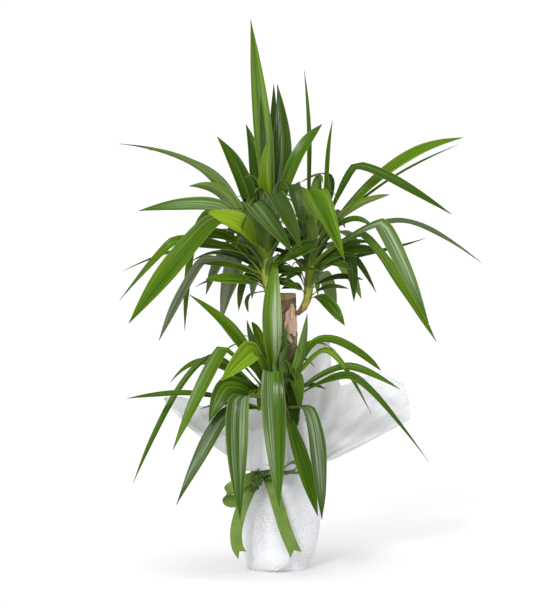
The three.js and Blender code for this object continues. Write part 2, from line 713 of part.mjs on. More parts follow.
// Bow: a knot in front of the waist, left of the middle, two loops and two long tails
const loopLeftPath = [
  [-27, -60, 164],
  [-52, -74, 158],
  [-84, -80, 138],
  [-90, -76, 124],
  [-76, -70, 122],
  [-50, -63, 138],
  [-28, -57, 158],
];
const loopRightPath = [
  [-22, -60, 164],
  [0, -84, 170],
  [18, -102, 168],
  [24, -100, 156],
  [12, -84, 152],
  [-4, -68, 156],
  [-22, -58, 160],
];
const tailLeftPath = [
  [-30, -58, 156],
  [-48, -68, 132],
  [-64, -78, 100],
  [-70, -80, 70],
  [-66, -78, 48],
  [-58, -74, 30],
];
const tailRightPath = [
  [-22, -60, 156],
  [-10, -72, 134],
  [-2, -77, 108],
  [8, -79, 70],
  [24, -77, 30],
];

function ribbon() {
  const bandInside = tieRadius + seatGap;
  const band = solidOf(
    turned(
      [
        [bandInside, tieZ - bandHigh / 2],
        [bandInside + ribbonThick, tieZ - bandHigh / 2],
        [bandInside + ribbonThick, tieZ + bandHigh / 2],
        [bandInside, tieZ + bandHigh / 2],
        [bandInside, tieZ - bandHigh / 2],
      ],
      bandSides,
    ),
  );
  const knotForm = new THREE.SphereGeometry(1, 10, 6).scale(...knotSize);
  const knot = solidOf(knotForm.rotateZ(knotTurn).translate(...knotPlace));
  const even = () => ribbonWide;
  const pinched = (share) => mix(loopPinch, ribbonWide, smooth(Math.min(share, 1 - share), 0, 0.25));
  const loopLeft = strip(loopLeftPath, point(0.35, 0.3, 1), pinched);
  const loopRight = strip(loopRightPath, point(0.6, 0.3, 1), pinched);
  const tailLeft = strip(tailLeftPath, point(1, -0.25, 0), even);
  const tailRight = strip(tailRightPath, point(1, 0.1, 0.25), even);
  return geometryOf(joined([band, knot, loopLeft, loopRight, tailLeft, tailRight]));
}

// Materials
const finish = (color, roughness) => new THREE.MeshStandardMaterial({ color, roughness, metalness: 0 });
const leafGreen = finish(0x4c7a1c, 0.38);
const bark = finish(0x8d6a4a, 0.85);
const soilBrown = finish(0x3a2a1e, 0.95);
const potPlastic = finish(0x5f3b2b, 0.6);
const wrapWhite = finish(0xe6e6ea, 0.85);
const satinGreen = finish(0x6e9b3c, 0.4);

const potted = new THREE.Group();
function addPiece(name, geometry, material) {
  const mesh = new THREE.Mesh(geometry, material);
  mesh.name = name;
  potted.add(mesh);
}

addPiece("wrap", wrapSheet(), wrapWhite);
addPiece("ribbon", ribbon(), satinGreen);
addPiece("nursery_pot", nurseryPot(), potPlastic);
addPiece("potting_soil", pottingSoil(), soilBrown);
addPiece("tall_cane", caneGeometry(tallCane), bark);
addPiece("short_cane", caneGeometry(shortCane), bark);
addPiece("head_left", head("left"), leafGreen);
addPiece("head_right", head("right"), leafGreen);
addPiece("head_low", head("low"), leafGreen);

export default potted;
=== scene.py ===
import math
import random

import bmesh
import bpy
from mathutils import Matrix, Vector, noise


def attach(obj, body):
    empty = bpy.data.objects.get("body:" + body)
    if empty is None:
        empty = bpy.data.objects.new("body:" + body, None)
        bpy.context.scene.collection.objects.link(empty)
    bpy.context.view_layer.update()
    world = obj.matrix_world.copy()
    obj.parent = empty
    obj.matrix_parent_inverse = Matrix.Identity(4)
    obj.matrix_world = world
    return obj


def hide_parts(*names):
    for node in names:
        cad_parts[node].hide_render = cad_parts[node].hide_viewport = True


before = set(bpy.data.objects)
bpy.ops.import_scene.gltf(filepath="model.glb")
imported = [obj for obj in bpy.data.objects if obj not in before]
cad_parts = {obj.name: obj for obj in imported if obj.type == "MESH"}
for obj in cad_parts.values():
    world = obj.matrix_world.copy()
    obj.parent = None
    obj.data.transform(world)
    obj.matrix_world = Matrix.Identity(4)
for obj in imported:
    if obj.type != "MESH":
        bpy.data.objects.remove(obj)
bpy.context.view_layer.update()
print("frame loaded")

# One frame for everything: metres, +Z up, the fuller side to -Y. The pieces' settings are in millimetres and
# degrees, and a place becomes metres where its point is laid.
degree = math.pi / 180
circle = 2 * math.pi


def mm(place):
    return Vector(place) * 0.001


def polar(angle, radius, height=0.0):
    return Vector((radius * math.cos(angle), radius * math.sin(angle), height))


def mix(a, b, share):
    return a + (b - a) * share


def smooth(value, low, high):
    share = min(max((value - low) / (high - low), 0), 1)
    return share * share * (3 - 2 * share)


def waved(place, scale=1):
    # smooth noise, from about -1 to 1
    return noise.noise(place * scale)


# working with Blender's own tools


def pick(*pieces):
    bpy.ops.object.select_all(action="DESELECT")
    for piece in pieces:
        piece.select_set(True)
    if pieces:
        bpy.context.view_layer.objects.active = pieces[0]


def openNet(piece, kind="VERT", action="DESELECT"):
    # into edit mode, with nothing selected or all of it
    pick(piece)
    bpy.ops.object.mode_set(mode="EDIT")
    bpy.ops.mesh.select_mode(type=kind)
    bpy.ops.mesh.select_all(action=action)
    return bmesh.from_edit_mesh(piece.data)


def closeNet():
    bpy.ops.object.mode_set(mode="OBJECT")


def gridPiece(name, across, along):
    # a flat net of faces, one unit wide and one long, with its own UV map
    pick()
    bpy.ops.mesh.primitive_grid_add(x_subdivisions=across, y_subdivisions=along, size=1, location=(0, 0.5, 0))
    piece = bpy.context.object
    piece.name = piece.data.name = name
    bpy.ops.object.transform_apply(location=True, rotation=True, scale=True)
    return piece


def copyOf(piece, name):
    copy = bpy.data.objects.new(name, piece.data.copy())
    bpy.context.scene.collection.objects.link(copy)
    return copy


def laidOn(piece, placeAt):
    # moves each point of a grid piece, known by its share across (0 to 1) and along (0 to 1)
    for vertex in piece.data.vertices:
        vertex.co = placeAt(vertex.co.x + 0.5, vertex.co.y)
    piece.data.update()
    return piece


def closeSeams(piece, caps=True):
    # joins the two long edges of a net laid round, closes its ends and turns its faces out
    openNet(piece, action="SELECT")
    bpy.ops.mesh.remove_doubles(threshold=1e-6)
    if caps:
        bpy.ops.mesh.select_all(action="DESELECT")
        bpy.ops.mesh.select_non_manifold(extend=False)
        bpy.ops.mesh.edge_face_add()
        bpy.ops.mesh.select_all(action="SELECT")
    bpy.ops.mesh.normals_make_consistent(inside=False)
    closeNet()
    return piece


def thicken(piece, thick, **settings):
    pick(piece)
    modifier = piece.modifiers.new("Solidify", "SOLIDIFY")
    for key, value in dict(thickness=thick, offset=0, **settings).items():
        setattr(modifier, key, value)
    bpy.ops.object.modifier_apply(modifier=modifier.name)


def joinAll(pieces, name):
    pick(*pieces)
    bpy.ops.object.join()
    whole = bpy.context.object
    whole.name = whole.data.name = name
    return whole


def setPoints(piece, name, values):
    # a named value on each point, or one for all of them
    if not isinstance(values, list):
        values = [values] * len(piece.data.vertices)
    piece.data.attributes.new(name, "FLOAT", "POINT").data.foreach_set("value", values)


def standsFor(piece, node, sharp):
    # shades the finished piece, edges past sharp degrees left crisp, and puts it in its node's place
    pick(piece)
    bpy.ops.object.shade_smooth_by_angle(angle=sharp * degree)
    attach(piece, "root")
    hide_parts(node)
    print(piece.name, len(piece.data.polygons), "faces")
    return piece


# node work for the finishes


class Finish:
    def __init__(self, name, shaderValues):
        self.material = bpy.data.materials.new(name)
        self.material.use_nodes = True
        self.nodes = self.material.node_tree.nodes
        self.links = self.material.node_tree.links
        self.wear(shaderValues)

    def wear(self, values):
        for socket, value in values.items():
            self.feed(self.nodes["Principled BSDF"].inputs[socket], value)
        return self.material

    def feed(self, socket, value):
        if isinstance(value, bpy.types.NodeSocket):
            self.links.new(value, socket)
        else:
            socket.default_value = (*value, 1) if socket.type == "RGBA" else value

    def put(self, kind, inputs=(), **settings):
        node = self.nodes.new("ShaderNode" + kind)
        for key, value in settings.items():
            setattr(node, key, value)
        for key, value in dict(inputs).items():
            self.feed(node.inputs[key], value)
        return node.outputs

    def coords(self, which="Object"):
        return self.put("TexCoord")[which]

    def split(self, vector):
        return self.put("SeparateXYZ", {0: vector})

    def attribute(self, name):
        return self.put("Attribute", attribute_name=name)["Fac"]

    def calc(self, operation, *values):
        # two values at a time, so that a row of them is added up or multiplied together
        result = values[0]
        for value in values[1:] or (0.0,):
            result = self.put("Math", {0: result, 1: value}, operation=operation)[0]
        return result

    def times(self, *values):
        return self.calc("MULTIPLY", *values)

    def plus(self, *values):
        return self.calc("ADD", *values)

    def offMiddle(self, share):
        return self.calc("ABSOLUTE", self.calc("SUBTRACT", share, 0.5))

    def ripples(self, value, pitch):
        return self.calc("ABSOLUTE", self.calc("SINE", self.times(value, pitch)))

    def ramp(self, value, *stops):
        node = self.nodes.new("ShaderNodeValToRGB")
        self.feed(node.inputs["Fac"], value)
        stopList = node.color_ramp.elements
        while len(stopList) < len(stops):
            stopList.new(0.5)
        for element, (place, colour) in zip(stopList, stops):
            element.position = place
            element.color = (*colour, 1)
        return node.outputs["Color"]

    def range(self, value, low, high, toLow=0.0, toHigh=1.0):
        return self.put("MapRange", {0: value, 1: low, 2: high, 3: toLow, 4: toHigh})[0]

    def noise(self, vector, scale, detail=3.0, rough=0.5, stretch=None):
        if stretch:
            vector = self.put("Mapping", {"Vector": vector, "Scale": stretch})["Vector"]
        inputs = {"Vector": vector, "Scale": scale, "Detail": detail, "Roughness": rough}
        return self.put("TexNoise", inputs)["Fac"]

    def blend(self, share, first, second):
        return self.put("Mix", {0: share, 6: first, 7: second}, data_type="RGBA")[2]

    def bump(self, height, distance, strength):
        return self.put("Bump", {"Height": height, "Distance": distance, "Strength": strength})["Normal"]


# the shoots: the middle line of each green stem with its radius, from its foot on the cane to its growing tip
shoots = {
    "left": [
        (-1, 4, 428, 7.5), (-20, -11, 452, 7), (-26, -17, 484, 7.5),
        (-20, -19, 530, 8), (-12, -19, 592, 6.5), (-11, -18, 622, 2),
    ],
    "right": [
        (23, 12, 415, 7.5), (36, 10, 425, 7), (44, 9, 442, 7), (48, 9, 480, 8),
        (50, 9, 530, 8.5), (58, 9, 596, 6.5), (60, 9, 628, 2),
    ],
    "low": [
        (-10, -24, 222, 7.5), (-7, -36, 246, 8), (-8, -42, 285, 8.5), (-10, -42, 322, 6), (-11, -42, 345, 2),
    ],
}


def leaf(up, over, tip, wide, tone=None, **more):
    return dict(up=up, over=over, tip=tip, wide=wide, tone=tone, **more)


# The leaves, each a call of leaf: it grows from the shoot at height up, passes over, where it arches or
# folds, and ends at tip, wide across. tone is how young and yellow it is, from -0.45 for a grey one to 1, and
# chance gives it where the row doesn't. heading is the side it grows to and lean how far its face is turned,
# in degrees. steep is how it rises from its foot, fold how long its bend is, foot how wide it starts, widest
# where it is widest and blunt how full it stays up to its tip. dry is how much of its tip has dried. The pale
# sheen is a painted reflection, a colour standing in for light off the blade: how strong it is, and 1 or -1
# for one half only.
leafRows = {}
leafRows["left"] = [
    leaf(525, (-34, 6, 764), (-50, 0, 903), 31, 0.5, heading=85, widest=0.5, blunt=1.7, bloom=(0.25, 0)),
    leaf(522, (-30, -32, 705), (-34, -30, 776), 13, 0.05, heading=100),
    leaf(522, (2, 26, 690), (-6, 48, 803), 38, 0.1, heading=80, widest=0.5, blunt=1.5),
    leaf(519, (-12, 56, 700), (-12, 74, 808), 18, 0, heading=80),
    leaf(516, (-44, 48, 680), (-59, 66, 738), 30, 0.15, heading=115),
    leaf(513, (-76, 5, 662), (-106, 18, 712), 36, 0.2, heading=130),
    leaf(506, (-132, -36, 655), (-260, -62, 692), 25, 0.25, lean=-38, widest=0.42, blunt=0.8, dry=0.5),
    leaf(510, (-118, 14, 655), (-221, 24, 691), 20, 0.15, lean=-30, widest=0.5, blunt=1, dry=0.5),
    leaf(510, (-106, -30, 620), (-150, -34, 626), 28, 0.35, lean=-45),
    leaf(519, (-27, -46, 660), (-20, -58, 700), 20, 0.7, heading=80),
    leaf(518, (-14, -62, 612), (31, -130, 522), 34, -0.02, heading=290, fold=0.12),
    leaf(513, (-48, -62, 597), (19, -120, 513), 40, 0.22, heading=275, lean=-6, fold=0.12, blunt=1.6,
         bloom=(0.25, 0)),
    leaf(516, (-46, -60, 604), (-71, -118, 522), 12, 0.05, heading=240, fold=0.12),
    leaf(508, (-96, -40, 590), (-229, -66, 584), 28, 0.35, lean=55, steep=1.2, fold=0.25, bloom=(0.45, 0)),
    leaf(504, (-66, -100, 560), (-116, -152, 577), 37, 1, lean=80, fold=0.3),
    leaf(501, (-104, -70, 568), (-237, -150, 404), 37, 0.36, lean=40, fold=0.1),
    leaf(498, (-172, -86, 533), (-260, -66, 440), 22, 0.45, lean=60, fold=0.12, widest=0.42, blunt=1),
    leaf(495, (-140, 34, 530), (-262, 4, 488), 12, 0.1, lean=30),
    leaf(477, (-125, -30, 505), (-197, -60, 375), 24, -0.15, lean=-50, fold=0.12, widest=0.7, blunt=1.8),
    leaf(492, (-118, 20, 588), (-160, 22, 390), 18, 0.2, lean=60, fold=0.2),
    leaf(486, (-58, 26, 548), (-100, 30, 404), 28, -0.3, lean=-50, fold=0.2),
    leaf(459, (-54, -26, 481), (-69, -30, 423), 14, 0, lean=40, fold=0.2),
    leaf(456, (-78, -52, 474), (-122, -66, 474), 24, 0.45, lean=45),
    leaf(461, (-86, 0, 480), (-143, 14, 462), 12, -0.1, lean=40),
    leaf(454, (-52, -30, 446), (-53, -40, 420), 16, 0.1, heading=200, fold=0.3),
    leaf(465, (-98, -52, 545), (-176, -80, 529), 24, 0.5, lean=50),
    leaf(480, (-112, 26, 518), (-152, 34, 504), 14, -0.1, lean=30),
    leaf(528, (27, -8, 675), (68, 2, 731), 25, 0.3, heading=60, widest=0.72, blunt=2.6),
    leaf(471, (-96, -10, 534), (-135, -16, 524), 16, -0.1, lean=10),
    leaf(465, (0, -26, 488), (34, -33, 480), 20, 0.12, lean=45),
    leaf(454, (-2, -27, 470), (32, -34, 456), 17, 0.2, lean=50),
    leaf(477, (6, -24, 508), (38, -32, 520), 18, 0.25, lean=40),
    leaf(495, (2, -30, 548), (30, -44, 530), 17, 0.15, lean=45),
]
leafRows["right"] = [
    leaf(527, (47, 32, 718), (39, 42, 827), 8, 0.35, heading=100, dry=0.2),
    leaf(524, (80, 16, 690), (86, 24, 740), 16, 0.4, heading=25),
    leaf(521, (80, 56, 652), (32, 40, 637), 13, 0.2, heading=60, fold=0.3),
    leaf(526, (50, -56, 618), (99, -140, 503), 44, 0.42, heading=290, fold=0.08, widest=0.5, blunt=1.6),
    leaf(485, (20, -20, 630), (44, -44, 538), 22, -0.08, heading=275, fold=0.1),
    leaf(518, (124, 4, 660), (279, -20, 581), 26, 0.12, lean=36, fold=0.12),
    leaf(509, (230, 50, 690), (308, 62, 715), 23, 0.5, lean=44, widest=0.7, blunt=1.8),
    leaf(512, (214, 84, 662), (304, 96, 707), 14, 0.2, lean=10, widest=0.75),
    leaf(516, (122, 26, 594), (182, 36, 617), 22, 0.5, lean=-40, widest=0.6, blunt=3),
    leaf(506, (118, -24, 572), (150, -34, 560), 20, 0.2, lean=32),
    leaf(500, (200, 2, 570), (330, -10, 501), 22, -0.45, lean=28, fold=0.3, widest=0.68),
    leaf(494, (160, -54, 562), (232, -120, 404), 31, 0.3, heading=330, lean=35, fold=0.06, widest=0.5,
         bloom=(0.6, 0)),
    leaf(491, (132, -22, 547), (252, -42, 373), 24, 0.5, lean=34, fold=0.1),
    leaf(476, (176, 44, 524), (244, 52, 545), 13, 0.1, lean=30),
    leaf(467, (112, 0, 520), (168, 10, 522), 22, 0.1, lean=50),
    leaf(473, (112, 30, 516), (160, 40, 452), 20, 0, lean=50, fold=0.2),
    leaf(470, (108, -4, 510), (120, -6, 438), 22, 0.1, lean=45, fold=0.15),
    leaf(455, (96, 2, 478), (136, 4, 474), 16, -0.1, lean=35),
    leaf(443, (82, -16, 462), (111, -20, 459), 15, 0, lean=35),
    leaf(440, (72, -26, 440), (103, -50, 399), 21, 0.25, lean=45, steep=0.6),
    leaf(452, (66, -30, 496), (98, -44, 511), 17, 0.25, lean=50),
    leaf(488, (50, -46, 530), (-2, -76, 499), 24, 0.25, lean=45, fold=0.3),
    leaf(482, (134, 54, 538), (172, 66, 528), 20, 0.1, lean=30),
    leaf(461, (84, -40, 500), (116, -56, 489), 20, 0.1, lean=30, fold=0.3),
    leaf(446, (26, -14, 463), (0, -22, 459), 15, 0.2, lean=50),
    leaf(454, (24, -4, 484), (-4, -8, 476), 14, 0, lean=30),
    leaf(455, (28, -24, 488), (6, -40, 470), 16, 0.15, lean=50),
    leaf(473, (30, -18, 540), (6, -34, 520), 18, 0.2, lean=40),
    leaf(479, (28, -10, 562), (2, -26, 566), 17, 0.25, lean=35),
    leaf(485, (26, -6, 590), (4, -18, 612), 18, 0.15, lean=30),
    leaf(485, (44, -30, 572), (34, -44, 560), 20, 0.35, heading=280),
]
leafRows["low"] = [
    leaf(271, (-15, -50, 427), (-8, -42, 513), 32, 0.6, heading=95, foot=0.16, widest=0.56, blunt=1.8,
         bloom=(1, 1)),
    leaf(266, (-92, -56, 402), (-148, -62, 449), 27, 0.5, heading=135),
    leaf(271, (-48, -74, 380), (-55, -76, 409), 16, 0.1, heading=110),
    leaf(258, (-112, -30, 348), (-238, -64, 146), 17, 0.3, lean=30, fold=0.2),
    leaf(260, (-134, 4, 338), (-184, 6, 303), 18, 0.4, lean=45),
    leaf(264, (-92, -82, 361), (-170, -130, 205), 25, 0.5, lean=35, fold=0.06),
    leaf(253, (-154, -78, 290), (-247, -84, 283), 17, 0.25, lean=28, steep=0.5, widest=0.7, blunt=1.3),
    leaf(270, (-46, -104, 360), (-94, -150, 314), 36, 0.7, lean=60, fold=0.1),
    leaf(262, (-86, -96, 301), (-114, -112, 248), 34, 0.25, lean=55, fold=0.2),
    leaf(255, (-84, -92, 262), (-164, -140, 120), 28, 0.1, lean=32, fold=0.15, blunt=1.2, bloom=(0.4, 0)),
    leaf(261, (-64, -118, 286), (-64, -150, 99), 37, 0.2, heading=262, fold=0.1, widest=0.48,
         bloom=(0.45, 0)),
    leaf(270, (-14, -116, 326), (-3, -152, 118), 38, 0.32, heading=272, fold=0.12, widest=0.48,
         bloom=(0.6, 1)),
    leaf(251, (-96, -52, 272), (-132, -56, 264), 13, lean=30),
    leaf(266, (63, -62, 376), (162, -44, 326), 22, 0.35, lean=40, fold=0.3, widest=0.8, blunt=3),
    leaf(263, (72, -86, 360), (142, -112, 261), 20, 0.55, lean=40, fold=0.2, widest=0.38, blunt=0.75,
         dry=0.35),
    leaf(258, (107, -98, 333), (188, -114, 299), 21, 0.3, lean=34, fold=0.3),
    leaf(256, (112, -126, 320), (229, -152, 189), 20, 0.15, lean=38, fold=0.2, widest=0.4, blunt=0.8),
    leaf(253, (42, -92, 266), (64, -122, 95), 30, 0.1, heading=300, fold=0.15, widest=0.5, bloom=(0.75, 0)),
    leaf(246, (14, -84, 242), (58, -104, 98), 27, 0.3, heading=310, lean=15, fold=0.2),
    leaf(251, (26, -62, 330), (42, -64, 419), 19, 0.2, heading=298, steep=1.6, foot=0.6),
    leaf(271, (3, -54, 362), (6, -56, 392), 12, 0, heading=80),
    leaf(264, (18, -76, 312), (28, -86, 270), 20, 0.2, heading=310, fold=0.3),
    leaf(268, (-58, -6, 366), (-96, 26, 352), 24, lean=10),
    leaf(265, (46, -14, 366), (92, 8, 356), 24, lean=10),
    leaf(271, (-38, -4, 384), (-48, 34, 404), 22, heading=120),
    leaf(264, (6, -50, 368), (10, -52, 402), 15, 0.2, heading=300),
    leaf(247, (10, -57, 286), (23, -72, 230), 27, 0.1, heading=300, fold=0.2, foot=0.7, widest=0.5),
    leaf(249, (10, -58, 314), (17, -70, 262), 21, 0.15, heading=290, fold=0.2, foot=0.6),
    leaf(251, (19, -56, 316), (28, -68, 270), 19, 0.1, heading=300, fold=0.2, foot=0.6),
    leaf(264, (16, -58, 340), (20, -70, 284), 22, 0.2, heading=300, fold=0.2),
    leaf(256, (22, -66, 322), (30, -84, 262), 20, 0.3, heading=310, fold=0.2),
    leaf(260, (-26, -72, 300), (-36, -84, 262), 18, 0.7, heading=262, fold=0.2),
    leaf(258, (-40, -70, 296), (-58, -88, 276), 16, 0.6, heading=235, fold=0.2),
]

# behind the two upper heads the leaves follow the golden angle inside a fan, longer ones lower down
backFans = {
    "left": dict(side=(88, 128), count=7, up=(465, 520), rise=(30, 76), drop=(70, 20), reach=(215, 150)),
    "right": dict(side=(52, 90), count=7, up=(455, 521), rise=(30, 70), drop=(60, 15), reach=(205, 140)),
}
# short narrow leaves round each shoot, by the same golden angle
innerFans = {
    "left": dict(count=24, up=(458, 545), reach=(104, 40), rise=(24, 96), wide=(14, 22)),
    "right": dict(count=18, up=(476, 552), reach=(90, 36), rise=(30, 92), wide=(14, 21)),
    "low": dict(count=12, up=(250, 300), reach=(92, 46), rise=(44, 84), wide=(13, 19)),
}
fans = dict(
    goldenShare=0.618034, dropSpread=30, backCrest=0.52, backWide=26,
    innerStart=250, innerCrest=0.6, innerReach=(0.8, 1.2), innerTip=(0.7, 1.25), innerLean=35,
)

# the blade: its net, how it rises and bends where its row doesn't say, and the range of what chance adds
blade = dict(
    across=8, along=30, thick=0.0005, rootDepth=0.45, crease=1.35,
    footShare=0.38, widestAt=0.58, tipPower=1.9, footChannel=0.5, channel=0.27,
    steep=2.0, leastSteep=0.35, steepPerSlope=1.5, lift=0.36, fold=0.42, pathSteps=60,
    ripple=(0.25, 0.9), rippleWide=26, waves=(2.0, 3.6), halfShift=1.9, twist=14, keel=(0.85, 1.2),
    # the first of these: how fast the painted sheen, a pale colour for reflected light, fades towards a
    # blade's edges
    bloomFall=0.95, oddTone=(0.0, 0.5),
)


def bladeOutline(along, widest=blade["widestAt"], power=blade["tipPower"], foot=blade["footShare"]):
    past = max(0, (along - widest) / (1 - widest))
    return max(mix(foot, 1, smooth(along, 0, widest)) * (1 - past ** power), 0.03)


def makeMasterBlade():
    # one flat blade: its rows are drawn in to the outline, then its sides are lifted into a channel
    across, along = blade["across"], blade["along"]
    piece = gridPiece("masterBlade", across, along)
    net = openNet(piece)

    def choose(wanted):
        for vertex in net.verts:
            vertex.select = wanted(vertex.co)
        net.select_flush(True)
        bmesh.update_edit_mesh(piece.data)

    for row in range(along + 1):
        height = row / along
        choose(lambda place: abs(place.y - height) < 1e-4)
        bpy.ops.transform.resize(value=(bladeOutline(height), 1, 1), center_override=(0, height, 0))
    for column in range(across + 1):
        part = abs(2 * column / across - 1)
        choose(lambda place: round((place.x / bladeOutline(place.y) + 0.5) * across) == column)
        bpy.ops.transform.translate(value=(0, 0, part ** blade["crease"]))
    closeNet()
    return piece


def shootMiddle(stem, height):
    for low, high in zip(stem, stem[1:]):
        if high[2] >= height:
            break
    share = (height - low[2]) / (high[2] - low[2])
    x, y, _, radius = (mix(a, b, share) for a, b in zip(low, high))
    return Vector((x, y, height)), radius


def bladeRoot(stem, height, outward):
    middle, radius = shootMiddle(stem, height)
    return middle + polar(outward, blade["rootDepth"] * radius)


def fanRows(stem, fan, inner):
    rows = []
    for i in range(fan["count"]):
        height = i / (fan["count"] - 1)
        share = ((i + 1) * fans["goldenShare"]) % 1
        odd = (i * 0.37) % 1
        heading = fans["innerStart"] + 360 * share if inner else mix(*fan["side"], share)
        up, reach, rise = (mix(*fan[key], height) for key in ("up", "reach", "rise"))
        root, way = bladeRoot(stem, up, heading * degree), polar(heading * degree, 1)
        if inner:
            reach *= mix(*fans["innerReach"], odd)
            crest, end = fans["innerCrest"], rise * mix(*fans["innerTip"], odd)
            more = dict(wide=mix(*fan["wide"], odd), lean=fans["innerLean"] * (1 - height), widest=0.5)
        else:
            crest, end = fans["backCrest"], rise - mix(*fan["drop"], height) - fans["dropSpread"] * share
            more = dict(wide=fans["backWide"])
        over = root + way * reach * crest + Vector((0, 0, rise))
        rows.append(leaf(up, over, root + way * reach + Vector((0, 0, end)), **more))
    return rows


class LeafPath:
    # the middle line of a leaf, two arcs that share one direction where it arches over
    def __init__(self, stem, row):
        self.over, self.tip = Vector(row["over"]), Vector(row["tip"])
        if "heading" in row:
            outward = row["heading"] * degree
        else:
            root = bladeRoot(stem, row["up"], 0)
            outward = math.atan2(self.tip.y - root.y, self.tip.x - root.x)
        self.root = bladeRoot(stem, row["up"], outward)
        fold = row.get("fold", blade["fold"])
        way = self.over - self.root
        slope = way.z / max(math.hypot(way.x, way.y), 1)
        steep = row.get("steep", min(blade["steep"], blade["leastSteep"] + blade["steepPerSlope"] * slope))
        self.lifted = self.root + polar(outward, 1, steep).normalized() * blade["lift"] * way.length
        before, after = self.over - self.lifted, self.tip - self.over
        through = (before.normalized() + after.normalized()).normalized()
        self.rising = self.over - through * fold * before.length
        self.falling = self.over + through * fold * after.length
        self.spots = [self.arc(i / blade["pathSteps"]) for i in range(2 * blade["pathSteps"] + 1)]
        self.reached = [0.0]
        for a, b in zip(self.spots, self.spots[1:]):
            self.reached.append(self.reached[-1] + (b - a).length)
        self.sideways = Vector((-math.sin(outward), math.cos(outward), 0))
        self.lean = row.get("lean", 0) * degree * (-1 if math.cos(outward) < 0 else 1)

    def arc(self, t):
        if t <= 1:
            u = 1 - t
            first = self.root * u ** 3 + self.lifted * 3 * t * u * u
            return first + self.rising * 3 * t * t * u + self.over * t ** 3
        t -= 1
        return self.over * (1 - t) ** 2 + self.falling * 2 * t * (1 - t) + self.tip * t * t

    def at(self, along):
        # the place, the way across to its left and the way up from its upper face
        wanted = along * self.reached[-1]
        index = 0
        while index < len(self.reached) - 2 and self.reached[index + 1] < wanted:
            index += 1
        step = self.reached[index + 1] - self.reached[index]
        share = (wanted - self.reached[index]) / step if step else 0
        place = self.spots[index].lerp(self.spots[index + 1], share)
        near = self.spots[max(index - 1, 0)]
        far = self.spots[min(index + 2, len(self.spots) - 1)]
        ahead = (far - near).normalized()
        side = (self.sideways - ahead * self.sideways.dot(ahead)).normalized()
        side.rotate(Matrix.Rotation(self.lean * smooth(along, 0, 0.4), 3, ahead))
        return place, side, ahead.cross(side)


def layLeaf(master, stem, row, chance):
    # a copy of the blade, laid along its own line with its own ripple, twist and tone
    piece = copyOf(master, "leaf")
    path = LeafPath(stem, row)
    ripple = chance.uniform(*blade["ripple"]) * row["wide"] / blade["rippleWide"]
    waves = chance.uniform(*blade["waves"])
    phase = chance.uniform(0, 6.28)
    twist = chance.uniform(-blade["twist"], blade["twist"]) * degree
    keel = chance.uniform(*blade["keel"])
    # the painted sheen: pale colour for light the blade reflects, on one half or fading towards its edges
    strength, bloomHalf = row.get("bloom", (0.0, 0))
    usual = (("widest", "widestAt"), ("blunt", "tipPower"), ("foot", "footShare"))
    cut = [row.get(key, blade[name]) for key, name in usual]
    bloom, known = [], {}
    for vertex in piece.data.vertices:
        along = min(max(vertex.co.y, 0), 1)
        key = round(along * blade["along"])
        if key not in known:
            known[key] = path.at(along)
        place, side, face = known[key]
        part = 2 * vertex.co.x / bladeOutline(along)
        half = row["wide"] / 2 * bladeOutline(along, *cut)
        channel = half * mix(blade["footChannel"], blade["channel"], smooth(along, 0, 0.4)) * keel
        wave = ripple * math.sin(waves * 6.28 * along + phase + (blade["halfShift"] if part > 0 else 0))
        rise = channel * vertex.co.z + wave * part * part * math.sin(math.pi * along)
        shown = smooth(part * bloomHalf, -0.1, 0.25) if bloomHalf else 1 - blade["bloomFall"] * part * part
        bloom.append(strength * shown)
        turn = twist * smooth(along, 0.45, 1)
        across = part * half
        flat = -side * across * math.cos(turn) + face * across * math.sin(turn)
        vertex.co = (place + flat + face * rise) * 0.001
    oddTone = chance.uniform(*blade["oddTone"])
    setPoints(piece, "tone", oddTone if row["tone"] is None else row["tone"])
    setPoints(piece, "dry", row.get("dry", 0.0))
    setPoints(piece, "bloom", bloom)
    setPoints(piece, "own", chance.random())
    return piece


shoot = dict(sides=20, rings=44, sheath=7.0, step=0.07)


def makeShoot(stem):
    # a net laid round the shoot's middle line, stepped where the feet of old leaves clasp it
    def placeAt(around, along):
        height = mix(stem[0][2], stem[-1][2] - 0.01, along)
        middle, radius = shootMiddle(stem, height)
        angle = around * circle
        sheath = (height / shoot["sheath"] + 0.5 * math.sin(angle + height * 0.4)) % 1
        return mm(middle + polar(angle, radius * (1 + shoot["step"] * (1 - sheath))))

    return closeSeams(laidOn(gridPiece("shoot", shoot["sides"], shoot["rings"]), placeAt))


def makeHead(name, master, finishes, seed):
    chance = random.Random(seed)
    stem = shoots[name]
    rows = leafRows[name] + (fanRows(stem, backFans[name], False) if name in backFans else [])
    rows += fanRows(stem, innerFans[name], True)
    leaves = joinAll([layLeaf(master, stem, row, chance) for row in rows], "leaves" + name.title())
    for material in finishes[:2]:
        leaves.data.materials.append(material)
    thicken(leaves, blade["thick"], use_even_offset=False, material_offset=1)
    stalk = makeShoot(stem)
    stalk.data.materials.append(finishes[2])
    return standsFor(joinAll([leaves, stalk], "head" + name.title()), "head_" + name, 50)


# the canes, with the same swellings as the solids inside them
canes = {
    "tall": dict(x=10, y=14, radius=16.3, top=452, foot=34, steps=11, phase=0.6),
    "short": dict(x=-14, y=-22, radius=12.5, top=232, foot=34, steps=5, phase=2.4),
}
bark = dict(
    sides=64, ringHeight=2.4, scarHeight=13.0, scar=0.5, rough=0.55, rimDrawnIn=0.7,
    swell=0.06, taper=0.08, uneven=0.04,
)
# the torn patch below the cut: its middle and half size, seen from the front, and its depth
torn = dict(x=17.0, z=402.0, halfWide=11.0, halfHigh=30.0, depth=1.3)


